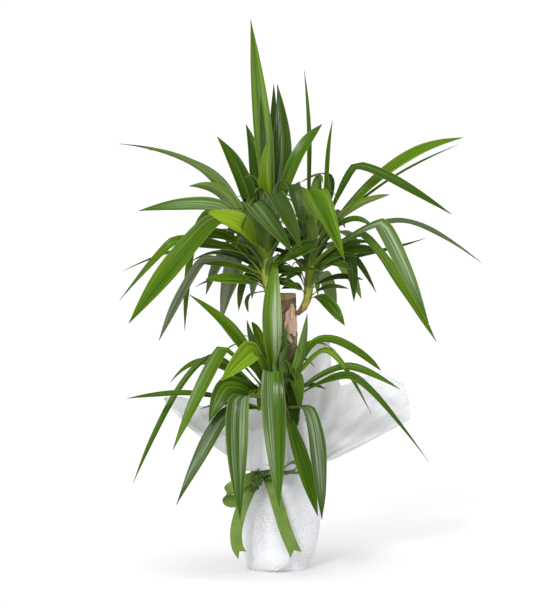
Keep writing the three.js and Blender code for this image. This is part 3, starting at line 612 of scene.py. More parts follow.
def barkRadius(cane, angle, height):
    step = (height - cane["foot"]) / (cane["top"] - cane["foot"]) * cane["steps"]
    swell = 1 + bark["swell"] * math.sin(step * 2.1 + cane["phase"])
    swell += bark["taper"] * (1 - step / cane["steps"])
    radius = cane["radius"] * swell * (1 + bark["uneven"] * math.sin(3 * angle + step + cane["phase"]))
    spot = polar(angle, 1.6, height * 0.07)
    radius += bark["rough"] * waved(spot, 1.7) + 0.3 * waved(spot, 6)
    # a leaf scar: a ridge round the cane with a groove above it
    drift = 2.4 * waved(spot, 0.9) + 0.18 * math.sin(2 * angle + height * 0.05)
    scar = (height / bark["scarHeight"] + drift) % 1
    groove = 0.8 * math.exp(-((scar - 0.62) / 0.05) ** 2)
    return radius + bark["scar"] * (math.exp(-((scar - 0.5) / 0.07) ** 2) - groove)


def tornShare(place):
    # how far a point lies inside the torn patch, its rim ragged
    if place.y > canes["tall"]["y"]:
        return 0
    away = ((place.x - torn["x"]) / torn["halfWide"]) ** 2 + ((place.z - torn["z"]) / torn["halfHigh"]) ** 2
    return smooth(1 - away + 0.45 * waved(place, 0.13) + 0.2 * waved(place, 0.4), 0, 0.16)


def makeCane(name, material):
    cane = canes[name]
    middle = Vector((cane["x"], cane["y"], 0))
    rings = round((cane["top"] - cane["foot"]) / bark["ringHeight"])

    def placeAt(around, along):
        height = mix(cane["foot"], cane["top"], along)
        angle = around * circle
        radius = barkRadius(cane, angle, height)
        place = middle + polar(angle, radius, height)
        if name == "tall":
            radius -= torn["depth"] * tornShare(place)
        if along > 0.999:
            height += 0.5 * waved(Vector((place.x, place.y, 0)), 0.3)
            radius -= bark["rimDrawnIn"]
        return mm(middle + polar(angle, radius, height))

    piece = closeSeams(laidOn(gridPiece(name + "Cane", bark["sides"], rings), placeAt))
    # the sawn end is drawn in twice, so that it keeps a crisp rim and takes its rings
    net = openNet(piece, "FACE")
    for face in net.faces:
        face.select = len(face.verts) > 8
    bmesh.update_edit_mesh(piece.data)
    bpy.ops.mesh.inset(thickness=0.0012)
    bpy.ops.mesh.inset(thickness=0.004, depth=0.0004)
    bpy.ops.mesh.poke()
    closeNet()
    piece.data.materials.append(material)
    patch = [tornShare(vertex.co * 1000) if name == "tall" else 0 for vertex in piece.data.vertices]
    setPoints(piece, "torn", patch)
    return standsFor(piece, name + "_cane", 45)


# soil: fills the pot and crowns up a little, crumbs and bark chips on top
soil = dict(
    footZ=3.2, footRadius=40.2, topZ=99, rimRadius=52.6, crown=3.4, rough=1.6,
    chips=150, chipSize=(1.2, 3.6), chipSeed=31,
)


def soilTop(x, y):
    far = min(math.hypot(x, y) / soil["rimRadius"], 1)
    low = waved(Vector((x, y, 3)), 0.09) + 0.5 * waved(Vector((x, y, 7)), 0.3)
    return soil["topZ"] + soil["crown"] * (1 - far * far) + soil["rough"] * low * (1 - far ** 4) - 0.6


def makeSoil(material):
    def placeAt(around, along):
        angle = around * circle
        if along < 0.1:
            radius, height = mix(2, soil["footRadius"], along / 0.1), soil["footZ"]
        elif along < 0.3:
            share = (along - 0.1) / 0.2
            radius = mix(soil["footRadius"], soil["rimRadius"], share)
            height = mix(soil["footZ"], soil["topZ"] - 1, share)
        else:
            radius = mix(soil["rimRadius"], 2, (along - 0.3) / 0.7)
            height = soilTop(radius * math.cos(angle), radius * math.sin(angle))
        return mm(polar(angle, radius, height))

    made = [closeSeams(laidOn(gridPiece("soil", 72, 34), placeAt))]
    chance = random.Random(soil["chipSeed"])
    pick()
    bpy.ops.mesh.primitive_ico_sphere_add(subdivisions=1, radius=1)
    chip = bpy.context.object
    for vertex in chip.data.vertices:
        vertex.co *= 1 + 0.35 * waved(vertex.co, 2.3)
    for _ in range(soil["chips"]):
        angle, far = chance.uniform(0, 6.28), math.sqrt(chance.random()) * (soil["rimRadius"] - 4)
        x, y = far * math.cos(angle), far * math.sin(angle)
        size = chance.uniform(*soil["chipSize"])
        turn = Matrix.Rotation(chance.uniform(0, 6.28), 4, "Z")
        tilt = Matrix.Rotation(chance.uniform(-0.5, 0.5), 4, "X")
        stretch = Matrix.Diagonal((size * chance.uniform(1, 1.8), size, size * 0.5, 1))
        place = Matrix.Translation((x, y, soilTop(x, y) + 0.2))
        made.append(copyOf(chip, "chip"))
        made[-1].data.transform(Matrix.Scale(0.001, 4) @ place @ turn @ tilt @ stretch)
    bpy.data.objects.remove(chip)
    whole = joinAll(made, "soil")
    whole.data.materials.append(material)
    return standsFor(whole, "potting_soil", 60)


# the wrap: a square of nonwoven with the pot on its middle, drawn up, tied at the waist and open above it.
# rim is counted from its right corner: the side each place faces in degrees, its radius and its height
wrap = dict(
    columns=440, thick=0.0004, floorRadius=44, potFoot=43.8, potTop=57, potRim=58.6, lowShift=8.0,
    tieZ=160, tieRadius=46.2, collarFootZ=167, collarBulge=0.05, pleats=17, pleatDeep=1.9, pleatLap=2.07,
    calmLeast=0.2, bodyFolds=4, foldDeep=3.8, foldLap=1.5, foldEdge=286, foldTurn=24, cuffMiddle=250,
    cuffHalfWide=42, cuffDrop=66, cuffStandOff=2.6, sheetSide=0.5, pitApart=0.0034, lowSide=190,
    calmSide=200, panelSide=256, flapSide=14, potHigh=109, rimZ=(97, 113), cuffRoll=1.6,
)
wrapRim = [
    (3, 214, 245), (14, 222, 272), (25, 232, 296), (33, 207, 318), (41, 136, 294), (51, 138, 328),
    (58, 158, 380), (75, 136, 366), (96, 118, 322), (124, 106, 276), (150, 138, 262), (168, 198, 279),
    (183, 156, 236), (200, 106, 212), (222, 80, 231), (246, 73, 233), (272, 69, 239), (292, 68, 252),
    (312, 74, 236), (330, 84, 182), (348, 142, 212),
]
# the zones of the sheet from its middle outwards, with the rows of faces in each
wrapRows = dict(floor=6, body=36, waist=3, collar=36, cuff=7)
# the body's outline from the floor's rim to the tie: radius and height
wrapBody = [
    (44, 0), (47.5, 3), (51, 12), (56, 30), (60, 62), (61, 94), (58.5, 122), (52, 142), (46.8, 153),
    (46.2, 160),
]


def lineAlong(points, share):
    # a smooth line through the points
    place = min(max(share, 0), 1) * (len(points) - 1)
    index = min(int(place), len(points) - 2)
    t = place - index
    a, b, c, d = (points[min(max(index + k, 0), len(points) - 1)] for k in (-1, 0, 1, 2))
    parts = []
    for p, q, r, s in zip(a, b, c, d):
        bend, turn = 2 * p - 5 * q + 4 * r - s, 3 * q - p - 3 * r + s
        parts.append(0.5 * (2 * q + (r - p) * t + bend * t * t + turn * t ** 3))
    return parts


def rimLays():
    # where every column of the sheet ends, as drawn and drawn again smoothly for the rows below the rim
    count = wrap["columns"]
    drawn = []
    for column in range(count):
        place = column / count * len(wrapRim)
        low = int(place)
        share = place - low
        a, b = wrapRim[low], wrapRim[(low + 1) % len(wrapRim)]
        last = b[0] + 360 if b[0] < a[0] else b[0]
        drawn.append((mix(a[0], last, share), mix(a[1], b[1], share), mix(a[2], b[2], share)))
    soft = []
    for column in range(count):
        total = [0.0, 0.0, 0.0]
        weights = 0
        for off in range(-26, 27):
            weight = 1 + math.cos(off / 27 * math.pi)
            side, radius, height = drawn[(column + off) % count]
            side += 360 * ((column + off) // count)
            for k, value in enumerate((side, radius, height)):
                total[k] += weight * value
            weights += weight
        soft.append([value / weights for value in total])
    return drawn, soft


def sideGap(side, other):
    return abs((side - other + 180) % 360 - 180)


def pleatShare(side):
    # the front panel and the right flap lie almost flat, the rest is pleated
    panel, flap = sideGap(side, wrap["panelSide"]), sideGap(side, wrap["flapSide"])
    pleated = min(smooth(panel, 22, 42), smooth(flap, 50, 74))
    return mix(wrap["calmLeast"], 1, pleated)


def foldWave(side, share):
    # the body's long overlapping folds turn a little on their way down
    edge = wrap["foldEdge"] - wrap["foldTurn"] * share
    wave = wrap["bodyFolds"] * (side - edge) * degree + wrap["foldLap"] + math.pi / 2
    return wave + 0.5 * math.sin(2 * side * degree)


def pleatAt(turn, drift=0.0):
    uneven = 0.9 * math.sin(4 * math.pi * turn + 0.7) + 0.5 * math.sin(10 * math.pi * turn + 2.1)
    return circle * wrap["pleats"] * turn + uneven + drift


def makeWrap(material):
    drawn, soft = rimLays()
    rowPlan = [("floor", 0.0)]
    for zone, count in wrapRows.items():
        rowPlan += [(zone, i / count) for i in range(1, count + 1)]
    piece = gridPiece("giftWrap", wrap["columns"], len(rowPlan) - 1)

    def collarSpot(column, share):
        # the sheet's lay on the way from the collar's foot to its rim
        exact = smooth(share, 0.55, 1)
        side, radius, height = (mix(s, d, exact) for s, d in zip(soft[column], drawn[column]))
        turn = column / wrap["columns"]
        pleated = pleatShare(side)
        wave = pleatAt(turn, 0.5 * share)
        lap = wrap["pleatLap"] * pleated * mix(1, 0.6, smooth(share, 0, 0.75))
        lap *= 1 - 0.5 * smooth(share, 0.7, 1)
        depth = mix(wrap["pleatDeep"] * pleated, 0.6 + 4.4 * pleated, math.sin(share * math.pi * 0.75))
        side += lap / wrap["pleats"] / degree * math.sin(wave)
        run, up = radius - wrap["tieRadius"], height - wrap["collarFootZ"]
        reach = math.hypot(run, up)
        bulge = wrap["collarBulge"] * reach * math.sin(share * math.pi)
        soften = 3.0 * share * waved(polar(side * degree, 2, share * 2.2))
        across = depth * math.sin(wave) + bulge + soften
        x = wrap["tieRadius"] + run * share + across * up / reach
        z = wrap["collarFootZ"] + up * share - across * run / reach
        return side, x, z

    def placeAt(around, along):
        column = round(around * wrap["columns"]) % wrap["columns"]
        zone, share = rowPlan[round(along * (len(rowPlan) - 1))]
        turn = column / wrap["columns"]
        side = soft[column][0]
        wave, pleated = pleatAt(turn), 0.0
        if zone == "floor":
            radius, height = wrap["floorRadius"] * share, 0.0
            radius += wrap["lowShift"] * share * math.cos((side - wrap["lowSide"]) * degree)
        elif zone == "body":
            radius, height = lineAlong(wrapBody, share)
            pleated = pleatShare(side) * smooth(share, 0.45, 1) ** 1.3
            lowPart = 1 - smooth(share, 0, 0.4)
            folded = smooth(share, 0.02, 0.3) * (1 - smooth(share, 0.7, 0.98))
            folded *= smooth(sideGap(side, wrap["calmSide"]), 12, 50)
            fold = math.sin(foldWave(side, share))
            shifted = 1 - smooth(share, 0.05, 0.6)
            radius += wrap["lowShift"] * shifted * math.cos((side - wrap["lowSide"]) * degree)
            radius += wrap["foldDeep"] * folded * (fold + 0.35)
            spot = polar(side * degree, 1.9, height * 0.035)
            radius += (1.2 * waved(spot) + 0.7 * waved(spot, 2.9)) * (1 - 0.7 * smooth(share, 0.45, 1))
            radius += 2.2 * waved(spot, 5.5) * lowPart
            height = max(height + 1.6 * lowPart * waved(spot, 4) * smooth(height, 0, 6), 0.0)
            # the sheet stays outside the pot and its rim
            if height < wrap["rimZ"][1]:
                wall = mix(wrap["potFoot"], wrap["potTop"], height / wrap["potHigh"])
                radius = max(radius, wrap["potRim"] if height > wrap["rimZ"][0] else wall)
            side += wrap["foldLap"] * folded * fold / wrap["bodyFolds"] / degree
        elif zone == "waist":
            pleated = pleatShare(side)
            radius, height = wrap["tieRadius"], mix(wrap["tieZ"], wrap["collarFootZ"], share)
        else:
            side, radius, height = collarSpot(column, share if zone == "collar" else 1)
            if zone == "cuff":
                away = ((side - wrap["cuffMiddle"] + 180) % 360 - 180) / wrap["cuffHalfWide"]
                turned = smooth(1 - abs(away), 0, 0.3)
                roll = share * (1 + wrap["cuffRoll"])
                if roll < 1:
                    radius += turned * 1.3 * (1 - math.cos(roll * math.pi))
                    height += turned * 1.6 * math.sin(roll * math.pi) + 0.8 * share * (1 - turned)
                else:
                    radius += turned * (wrap["cuffStandOff"] + 0.8 * math.sin(side * 0.3))
                    height += mix(0.8 * share, -wrap["cuffDrop"] * (roll - 1) / wrap["cuffRoll"], turned)
        radius += wrap["pleatDeep"] * pleated * math.sin(wave)
        side += wrap["pleatLap"] * pleated * math.sin(wave) / wrap["pleats"] / degree
        return mm(polar(side * degree, radius, height))

    laidOn(piece, placeAt)
    # the pattern lies on the flat sheet: each point's way from the middle, turned round by its column
    reached = {}
    rows = len(rowPlan)
    points = [[None] * rows for _ in range(wrap["columns"] + 1)]
    uvs = piece.data.uv_layers.active.data
    netX = [round(loopUv.uv.x * wrap["columns"]) for loopUv in uvs]
    netY = [round(loopUv.uv.y * (rows - 1)) for loopUv in uvs]
    for loop, x, y in zip(piece.data.loops, netX, netY):
        points[x][y] = piece.data.vertices[loop.vertex_index].co
    for x in range(wrap["columns"] + 1):
        total = 0
        for y in range(rows):
            if y:
                total += (points[x][y] - points[x][y - 1]).length
            reached[x, y] = total
    for loopUv, x, y in zip(uvs, netX, netY):
        turn = x / wrap["columns"] * circle
        loopUv.uv = (reached[x, y] * math.cos(turn), reached[x, y] * math.sin(turn))
    closeSeams(piece, caps=False)
    thicken(piece, wrap["thick"])
    piece.data.materials.append(material)
    return standsFor(piece, "wrap", 70)


# the ribbon: 2 cm of satin round the waist, a knot, two loops and two tails, each along its middle line
ribbon = dict(
    wide=20, thick=0.00035, bandRadius=49.6, bandHigh=5, tieZ=160, knot=(-24, -55, 161),
    knotSize=(8.5, 10, 24), knotTurn=-0.45, crumple=0.5, slant={"tailLeft": 3.5, "tailRight": 0.5},
    pinch=10, notch=9, tuckWide=0.62,
)
ribbonRuns = {
    "loopLeft": [
        (-27, -60, 164), (-52, -74, 154), (-84, -80, 136), (-87, -76, 122), (-74, -70, 118),
        (-50, -63, 134), (-28, -57, 158),
    ],
    "loopRight": [
        (-22, -60, 166), (-8, -72, 168), (6, -79, 174), (17, -83, 181), (24, -84, 180), (25, -84, 174),
        (19, -83, 167), (9, -80, 164), (-3, -72, 162), (-22, -58, 160),
    ],
    "tailLeft": [
        (-30, -58, 158), (-44, -66, 146), (-56, -72, 124), (-66, -77, 98), (-72, -79, 70), (-70, -78, 46),
        (-62, -75, 31),
    ],
    "tailRight": [(-22, -60, 156), (-12, -72, 134), (-4, -77, 108), (8, -79, 70), (24, -77, 32)],
    "tuckLeft": [
        (-27, -64, 168), (-38, -71, 163), (-31, -75, 157), (-43, -76, 150), (-36, -75, 143), (-47, -74, 134),
    ],
    "tuckRight": [
        (-30, -66, 171), (-20, -70, 174), (-24, -72, 166), (-12, -72, 168), (-16, -70, 159), (-26, -66, 152),
    ],
}
ribbonLaid = {
    "loopLeft": (0.35, 0.3, 1),
    "loopRight": (0.1, 1, 0.24),
    "tailLeft": (1, -0.25, 0),
    "tailRight": (1, 0.1, 0.25),
    "tuckLeft": (0.5, 0.2, 1),
    "tuckRight": (0.2, 0.3, 1),
}


def ribbonRun(name):
    # one run of the ribbon, its width laid along one direction, gathered where it comes out of the knot
    line, laid = ribbonRuns[name], Vector(ribbonLaid[name])
    tail, tuck = name.startswith("tail"), name.startswith("tuck")
    piece = gridPiece(name, 8, 64)

    def placeAt(across, along):
        place = Vector(lineAlong(line, along))
        ahead = (Vector(lineAlong(line, along + 0.01)) - Vector(lineAlong(line, along - 0.01))).normalized()
        side = (laid - ahead * laid.dot(ahead)).normalized()
        part = 2 * across - 1
        near = 1 - smooth(along if tail else min(along, 1 - along), 0, 0.25)
        wide = mix(ribbon["wide"], ribbon["pinch"] + 4 * tail, near)
        lift = 1.5 * near * math.cos(3 * math.pi * part) + 0.5 * (1 - part * part)
        lift += 0.5 * math.sin(along * 9 + part * 1.4) * (1 - near)
        if tuck:
            lift += 2.2 * waved(place * 0.16 + Vector((part, 0, 0)))
            wide *= ribbon["tuckWide"]
        if tail:
            end = smooth(along, 0.86, 1)
            place -= ahead * end * (ribbon["notch"] * (1 - abs(part)) + ribbon["slant"][name] * part)
        return (place + side * part * wide / 2 + ahead.cross(side) * lift) * 0.001

    # painted shade: the tucks nearly all over, and each run where it leaves the knot, are darkened to stand
    # in for the shade in the folds
    shadeShares = []
    for vertex in piece.data.vertices:
        near = 1 - smooth(vertex.co.y if tail else min(vertex.co.y, 1 - vertex.co.y), 0, 0.22)
        shadeShares.append(0.9 if tuck else 0.55 * near)
    setPoints(piece, "tucked", shadeShares)
    return laidOn(piece, placeAt)


def makeRibbon(material):
    runs = [ribbonRun(name) for name in ribbonRuns]
    band = gridPiece("band", 180, 6)

    def bandAt(around, along):
        angle = around * circle
        folds = 0.35 * math.sin(along * 9.5 + 1.2 * math.sin(3 * angle)) + 0.15 * math.sin(26 * angle)
        radius = ribbon["bandRadius"] + 0.4 + folds
        height = ribbon["tieZ"] + (along - 0.5) * (ribbon["bandHigh"] + 1.4 * math.sin(2 * angle + 1))
        height += 0.7 * math.sin(3 * angle)
        return mm(polar(angle, radius, height))

    closeSeams(laidOn(band, bandAt), caps=False)
    knot = gridPiece("knot", 14, 48)
    turn = Matrix.Rotation(ribbon["knotTurn"], 3, "Z")

    def knotAt(across, along):
        angle = along * circle
        part = 2 * across - 1
        crown = 1 - 0.32 * part * part + 0.08 * math.cos(5 * math.pi * part + math.sin(2 * angle))
        spot = Vector((part * 2.4, 2 * math.cos(angle), 2 * math.sin(angle)))
        crown += ribbon["crumple"] * waved(spot)
        deep, high, wide = ribbon["knotSize"]
        spot = Vector((part * wide / 2, -deep * math.cos(angle) * crown, high * math.sin(angle) * crown))
        return mm(Vector(ribbon["knot"]) + turn @ spot)

    closeSeams(laidOn(knot, knotAt), caps=False)
    # the knot is darkened all over with painted shade, for the shade in its folds
    setPoints(knot, "tucked", 0.85)
    piece = joinAll([band, knot] + runs, "satinRibbon")
    piece.data.materials.append(material)
    thicken(piece, ribbon["thick"])
    return standsFor(piece, "ribbon", 60)


# finishes


def makeLeafFinish(name, under):
    mat = Finish(name, {"Specular IOR Level": 0.15 if under else 0.3})
    across, along, _ = mat.split(mat.coords("UV"))
    own, tone, dry = mat.attribute("own"), mat.attribute("tone"), mat.attribute("dry")
    shift = mat.times(own, 40.0)
    # veins run the length of the blade: broad bands of colour, then fine ribs, and streaks that carry the
    # painted highlight and painted sheen
    place = mat.put("CombineXYZ", {"X": across, "Y": along, "Z": shift})[0]
    bands = mat.noise(place, 1.0, 2.0, stretch=(7, 1.1, 1))
    ribs = mat.noise(place, 1.0, 2.0, 0.6, stretch=(46, 1.3, 1))
    ridges = mat.noise(place, 1.0, 1.0, stretch=(8, 0.5, 1))
    streaks = mat.noise(place, 1.0, 3.0, 0.65, stretch=(15, 1.5, 3))
    cells = mat.noise(place, 4.0, 3.0, 0.7, stretch=(22, 40, 1))
    middle = mat.offMiddle(across)
    youth = mat.plus(
        tone,
        mat.range(bands, 0.25, 0.75, -0.32, 0.32),
        mat.range(ribs, 0.3, 0.7, -0.2, 0.2),
        mat.range(along, 0.0, 0.36, 0.45, 0.0),
    )
    stops = leafGreens["under" if under else "upper"]
    colour = mat.ramp(mat.range(youth, -0.4, 1.0), *stops)
    # painted highlight: pale streaks in patches along the blade, standing in for glints of light
    patch = mat.noise(place, 1.0, 2.0, stretch=(1.4, 2.6, 1))
    shine = mat.times(
        mat.range(streaks, 0.54, 0.66),
        mat.range(own, 0.0, 1.0, 0.2, 0.8),
        mat.range(patch, 0.4, 0.58),
        mat.range(along, 0.12, 0.3),
        mat.range(along, 0.6, 0.85, 1.0, 0.15),
    )
    colour = mat.blend(shine, colour, leafGreens["paintedHighlight"])
    # painted sheen: a pale colour standing in for reflected light, where the row asks for it
    paintedSheenMask = mat.times(
        mat.attribute("bloom"),
        mat.range(streaks, 0.4, 0.6, 0.1, 1.0),
        mat.range(ribs, 0.4, 0.56, 0.3, 1.0),
        mat.range(bands, 0.35, 0.55, 0.4, 1.0),
        mat.range(along, 0.2, 0.36),
        mat.range(along, 0.72, 0.92, 1.0, 0.0),
    )
    colour = mat.blend(paintedSheenMask, colour, leafGreens["bloom"])
    margin = mat.range(middle, 0.46, 0.492, 0.0, 0.35)
    colour = mat.blend(margin, colour, leafGreens["margin"])
    foot = mat.range(along, 0.03, 0.22, 0.85, 0.0)
    colour = mat.blend(foot, colour, leafGreens["foot"])
    tip = mat.times(mat.range(along, 0.965, 0.995), mat.range(own, 0.35, 0.5))
    dryTip = mat.range(mat.plus(along, mat.times(dry, 0.3)), 0.98, 1.06)
    colour = mat.blend(mat.calc("MAXIMUM", tip, dryTip), colour, leafGreens["dry"])
    colour = mat.blend(mat.range(cells, 0.72, 0.8, 0.0, 0.3), colour, leafGreens["fleck"])
    rough = mat.range(bands, 0.3, 0.7, 0.48 if under else 0.2, 0.6 if under else 0.3)
    height = mat.plus(mat.times(ridges, 9.0), mat.times(streaks, 0.25))
    normal = mat.bump(height, 0.0002, 0.8)
    return mat.wear({"Base Color": colour, "Roughness": rough, "Normal": normal})


leafGreens = {
    "upper": [
        (0.0, (0.09, 0.12, 0.055)),
        (0.16, (0.036, 0.068, 0.014)),
        (0.28, (0.03, 0.066, 0.006)),
        (0.42, (0.036, 0.088, 0.003)),
        (0.66, (0.08, 0.165, 0.003)),
        (0.84, (0.14, 0.245, 0.006)),
        (1.0, (0.25, 0.38, 0.01)),
    ],
    "under": [
        (0.0, (0.27, 0.31, 0.21)),
        (0.2, (0.15, 0.195, 0.095)),
        (0.36, (0.085, 0.14, 0.04)),
        (0.6, (0.14, 0.225, 0.03)),
        (0.8, (0.22, 0.33, 0.04)),
        (1.0, (0.33, 0.45, 0.05)),
    ],
    # painted highlight: a pale colour standing in for light glinting off the blade
    "paintedHighlight": (0.25, 0.33, 0.16),
    # painted sheen: a pale colour standing in for reflected light
    "bloom": (0.48, 0.55, 0.42),
    "margin": (0.33, 0.42, 0.15),
    "foot": (0.33, 0.43, 0.06),
    "dry": (0.11, 0.085, 0.05),
    "fleck": (0.15, 0.17, 0.05),
}


def makeStalkFinish():
    mat = Finish("stalkSkin", {"Roughness": 0.5})
    _, along, _ = mat.split(mat.coords("UV"))
    place = mat.coords()
    patches = mat.noise(place, 120.0, 4.0, 0.6, stretch=(1, 1, 0.4))
    grain = mat.noise(place, 900.0, 2.0, stretch=(1, 1, 0.12))
    level = mat.plus(along, mat.range(patches, 0.3, 0.7, -0.12, 0.12))
    colour = mat.ramp(
        level,
        (0.0, (0.2, 0.1, 0.045)),
        (0.04, (0.5, 0.28, 0.06)),
        (0.1, (0.46, 0.46, 0.08)),
        (0.34, (0.34, 0.47, 0.055)),
        (0.7, (0.25, 0.38, 0.045)),
        (1.0, (0.1, 0.21, 0.03)),
    )
    colour = mat.blend(mat.range(grain, 0.5, 0.75, 0.0, 0.35), colour, (0.22, 0.17, 0.07))
    return mat.wear({"Base Color": colour, "Normal": mat.bump(grain, 0.0004, 0.6)})


def makeBarkFinish():
    mat = Finish("bark", {"Roughness": 0.88})
    place = mat.coords()
    _, _, height = mat.split(place)
    patches = mat.noise(place, 70.0, 5.0, 0.62, stretch=(1, 1, 0.55))
    cork = mat.noise(place, 420.0, 4.0, 0.7, stretch=(1, 1, 0.3))
    flattened = mat.put("Mapping", {"Vector": place, "Scale": (1, 1, 0.5)})["Vector"]
    plates = mat.put(
        "TexVoronoi",
        {"Vector": flattened, "Scale": 190.0, "Randomness": 0.9},
        feature="DISTANCE_TO_EDGE",
    )["Distance"]
    cracks = mat.range(plates, 0.0, 0.09, 1.0, 0.0)
    colour = mat.ramp(
        mat.plus(patches, mat.range(cork, 0.3, 0.7, -0.14, 0.14)),
        (0.22, (0.085, 0.05, 0.03)),
        (0.45, (0.21, 0.135, 0.08)),
        (0.62, (0.33, 0.225, 0.135)),
        (0.82, (0.48, 0.37, 0.24)),
    )
    colour = mat.blend(mat.times(cracks, 0.5), colour, (0.055, 0.035, 0.024))
    # the torn patch: pale fibres at its rim, pinkish inner bark in its middle
    patch = mat.attribute("torn")
    fibres = mat.noise(place, 520.0, 3.0, 0.6, stretch=(1, 1, 0.08))
    flesh = mat.ramp(fibres, (0.3, (0.5, 0.24, 0.15)), (0.5, (0.8, 0.5, 0.38)), (0.7, (0.93, 0.74, 0.6)))
    pale = mat.blend(mat.range(patch, 0.25, 0.95), (0.7, 0.55, 0.3), flesh)
    colour = mat.blend(mat.range(patch, 0.2, 0.4), colour, pale)
    # where the saw broke the bark off, the top shows its wood
    ragged = mat.plus(height, mat.range(patches, 0.3, 0.7, -0.005, 0.005))
    sawn = mat.range(ragged, 0.4405, 0.4435)
    wood = mat.blend(mat.range(fibres, 0.3, 0.7), (0.6, 0.45, 0.26), (0.4, 0.26, 0.14))
    colour = mat.blend(sawn, colour, wood)
    relief = mat.calc("SUBTRACT", mat.plus(cork, patches), mat.times(cracks, 0.7))
    return mat.wear({"Base Color": colour, "Normal": mat.bump(relief, 0.0014, 0.9)})


def makeSoilFinish():
    mat = Finish("peat", {"Roughness": 0.95})
    place = mat.coords()
    crumbs = mat.noise(place, 420.0, 5.0, 0.7)
    cells = mat.put("TexVoronoi", {"Vector": place, "Scale": 330.0})
    grains = mat.range(mat.noise(place, 160.0), 0.62, 0.68)
    colour = mat.ramp(
        crumbs,
        (0.3, (0.014, 0.009, 0.006)),
        (0.55, (0.05, 0.03, 0.018)),
        (0.8, (0.12, 0.075, 0.045)),
    )
    colour = mat.blend(mat.times(grains, 0.5), colour, (0.22, 0.14, 0.08))
    normal = mat.bump(mat.plus(crumbs, cells["Distance"]), 0.0016, 0.9)
    return mat.wear({"Base Color": colour, "Normal": normal})


def makePotFinish():
    mat = Finish("pottedPlastic", {"Roughness": 0.5})
    place = mat.coords()
    skin = mat.noise(place, 1500.0, 2.0)
    dust = mat.noise(place, 45.0, 4.0, 0.6)
    colour = mat.blend(mat.range(dust, 0.4, 0.75), (0.115, 0.046, 0.026), (0.19, 0.105, 0.07))
    rough = mat.range(dust, 0.35, 0.7, 0.42, 0.68)
    normal = mat.bump(skin, 0.00008, 0.5)
    return mat.wear({"Base Color": colour, "Roughness": rough, "Normal": normal})


def makeWrapFinish():
    # pressed nonwoven: rows of small pits in a felt of fine threads, the pits darkened in patches with
    # painted shade
    mat = Finish("nonwoven", {"Roughness": 0.8, "Sheen Weight": 0.25, "Sheen Roughness": 0.5})
    flat = mat.coords("UV")
    turned = mat.put("Mapping", {"Vector": flat, "Rotation": (0, 0, 45 * degree)})["Vector"]
    x, y, _ = mat.split(turned)
    pitch = math.pi / wrap["pitApart"]
    pits = mat.range(mat.times(mat.ripples(x, pitch), mat.ripples(y, pitch)), 0.45, 0.8)
    felt = mat.noise(flat, 900.0, 4.0, 0.8)
    cloud = mat.noise(flat, 26.0, 4.0, 0.6)
    pitDepthAndShade = mat.range(mat.noise(flat, 330.0, 2.0, 0.8), 0.42, 0.6)
    strength = mat.times(pits, pitDepthAndShade, mat.range(cloud, 0.4, 0.53))
    colour = mat.blend(mat.range(felt, 0.35, 0.7), (0.745, 0.745, 0.77), (0.85, 0.855, 0.875))
    # painted shade in the pits: a dark lilac standing in for the shade in their hollows, in the same patches
    # that make them deep
    colour = mat.blend(strength, colour, (0.36, 0.34, 0.43))
    relief = mat.calc("SUBTRACT", mat.times(felt, 0.5), strength)
    return mat.wear({"Base Color": colour, "Normal": mat.bump(relief, 0.0003, 0.6)})


def makeSatinFinish():
    mat = Finish("greenSatin", {"Roughness": 0.36, "Sheen Weight": 0.15, "Sheen Roughness": 0.35})
    across, along, _ = mat.split(mat.coords("UV"))
    threads = mat.calc("SINE", mat.times(across, circle * 44))
    slubs = mat.noise(mat.coords("UV"), 1.0, 3.0, stretch=(60, 3, 1))
    cloud = mat.noise(mat.coords(), 60.0, 2.0)
    level = mat.range(slubs, 0.3, 0.7, -0.25, 0.25)
    level = mat.plus(level, mat.range(cloud, 0.3, 0.7, 0.2, 0.8))
    colour = mat.blend(level, (0.09, 0.17, 0.018), (0.16, 0.265, 0.036))
    # painted shade in the knot, in the tucks and where the runs leave the knot, broken up by crease noise
    creased = mat.noise(mat.coords(), 300.0, 3.0, 0.6)
    paintedKnotShade = mat.times(mat.attribute("tucked"), mat.range(creased, 0.6, 0.42))
    colour = mat.blend(paintedKnotShade, colour, (0.012, 0.035, 0.008))
    edge = mat.range(mat.offMiddle(across), 0.46, 0.49)
    colour = mat.blend(mat.times(edge, 0.5), colour, (0.1, 0.21, 0.03))
    return mat.wear({"Base Color": colour, "Normal": mat.bump(threads, 0.00006, 0.35)})


# making the pieces, from the ground up
print("finishes")
leafFinishes = [makeLeafFinish("leafUpper", False), makeLeafFinish("leafUnder", True), makeStalkFinish()]
barkFinish = makeBarkFinish()

print("canes and soil")
for caneName in canes:
    makeCane(caneName, barkFinish)
makeSoil(makeSoilFinish())

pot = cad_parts["nursery_pot"]
pot.data.materials.clear()
pot.data.materials.append(makePotFinish())

print("heads")
masterBlade = makeMasterBlade()
for headName, headSeed in (("left", 11), ("right", 23), ("low", 37)):
    makeHead(headName, masterBlade, leafFinishes, headSeed)
bpy.data.objects.remove(masterBlade)

print("wrap and ribbon")
wrapPiece = makeWrap(makeWrapFinish())
ribbonPiece = makeRibbon(makeSatinFinish())

# the floor, the light and the camera
studio = {
    "floorSide": 14.0,
    "cameraPlace": (-0.0074, -2.6, 0.434),
    "cameraLens": 93.3,
    "skyLight": 1.05,
    "skySeen": 1.05,
    "skyGloss": 0.05,
    "floorTone": 0.62,
    "floorSeen": 0.17,
    "lights": [
        # name, where it shines from, how soft, strength, whether the gloss shows it
        ("key", (-0.9, -1.9, 1.3), 25, 0.6, False),
        ("glint", (-0.7, -1.9, 1.15), 8, 0.8, True),
        ("fill", (1.3, -1.9, 0.6), 30, 0.3, False),
        ("top", (0.2, -0.3, 2.0), 30, 0.6, False),
    ],
}


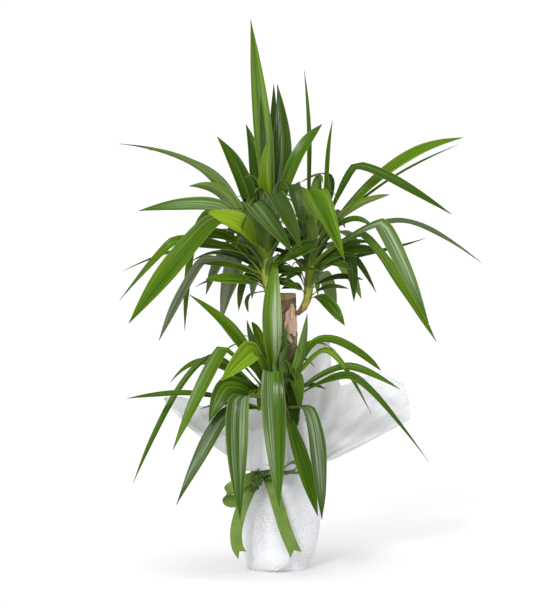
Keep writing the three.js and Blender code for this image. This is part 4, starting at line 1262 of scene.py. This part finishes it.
def makeStudio():
    pick()
    bpy.ops.mesh.primitive_plane_add(size=studio["floorSide"], location=(0, 0, 0))
    floor = bpy.context.object
    floor.name = "floor"
    paper = Finish("floorPaper", {"Roughness": 0.9})
    grain = paper.noise(paper.coords(), 2.0)
    tone = paper.range(grain, 0.0, 1.0, studio["floorTone"], studio["floorTone"] + 0.02)
    # the floor looks whiter than it lights the plant
    seen = paper.put("LightPath")["Is Camera Ray"]
    tone = paper.plus(tone, paper.times(seen, studio["floorSeen"]))
    grey = paper.put("CombineColor", {0: tone, 1: tone, 2: tone})[0]
    floor.data.materials.append(paper.wear({"Base Color": grey}))
    world = bpy.data.worlds.new("studio")
    bpy.context.scene.world = world
    world.use_nodes = True
    # the backdrop looks white, and lights the plant less than it shows
    sky = world.node_tree.nodes["Background"]
    seen = world.node_tree.nodes.new("ShaderNodeLightPath")
    level = None
    for ray, strength in (("Is Glossy Ray", "skyGloss"), ("Is Camera Ray", "skySeen")):
        step = world.node_tree.nodes.new("ShaderNodeMapRange")
        step.inputs["To Min"].default_value = studio["skyLight"]
        step.inputs["To Max"].default_value = studio[strength]
        world.node_tree.links.new(seen.outputs[ray], step.inputs["Value"])
        if level is not None:
            world.node_tree.links.new(level.outputs["Result"], step.inputs["To Min"])
        level = step
    world.node_tree.links.new(level.outputs["Result"], sky.inputs["Strength"])
    sky.inputs["Color"].default_value = (1, 1, 1, 1)
    for name, place, soft, strength, mirrored in studio["lights"]:
        bpy.ops.object.light_add(type="SUN", location=place)
        lamp = bpy.context.object
        lamp.name = name
        lamp.visible_glossy = mirrored
        lamp.data.angle = soft * degree
        lamp.data.energy = strength
        lamp.rotation_euler = (-Vector(place)).to_track_quat("-Z", "Y").to_euler()
    bpy.ops.object.camera_add(location=studio["cameraPlace"], rotation=(90 * degree, 0, 0))
    camera = bpy.context.object
    camera.data.lens = studio["cameraLens"]
    camera.data.clip_end = 50
    bpy.context.scene.camera = camera
    bpy.context.scene.view_settings.view_transform = "Standard"
    print("studio")


makeStudio()
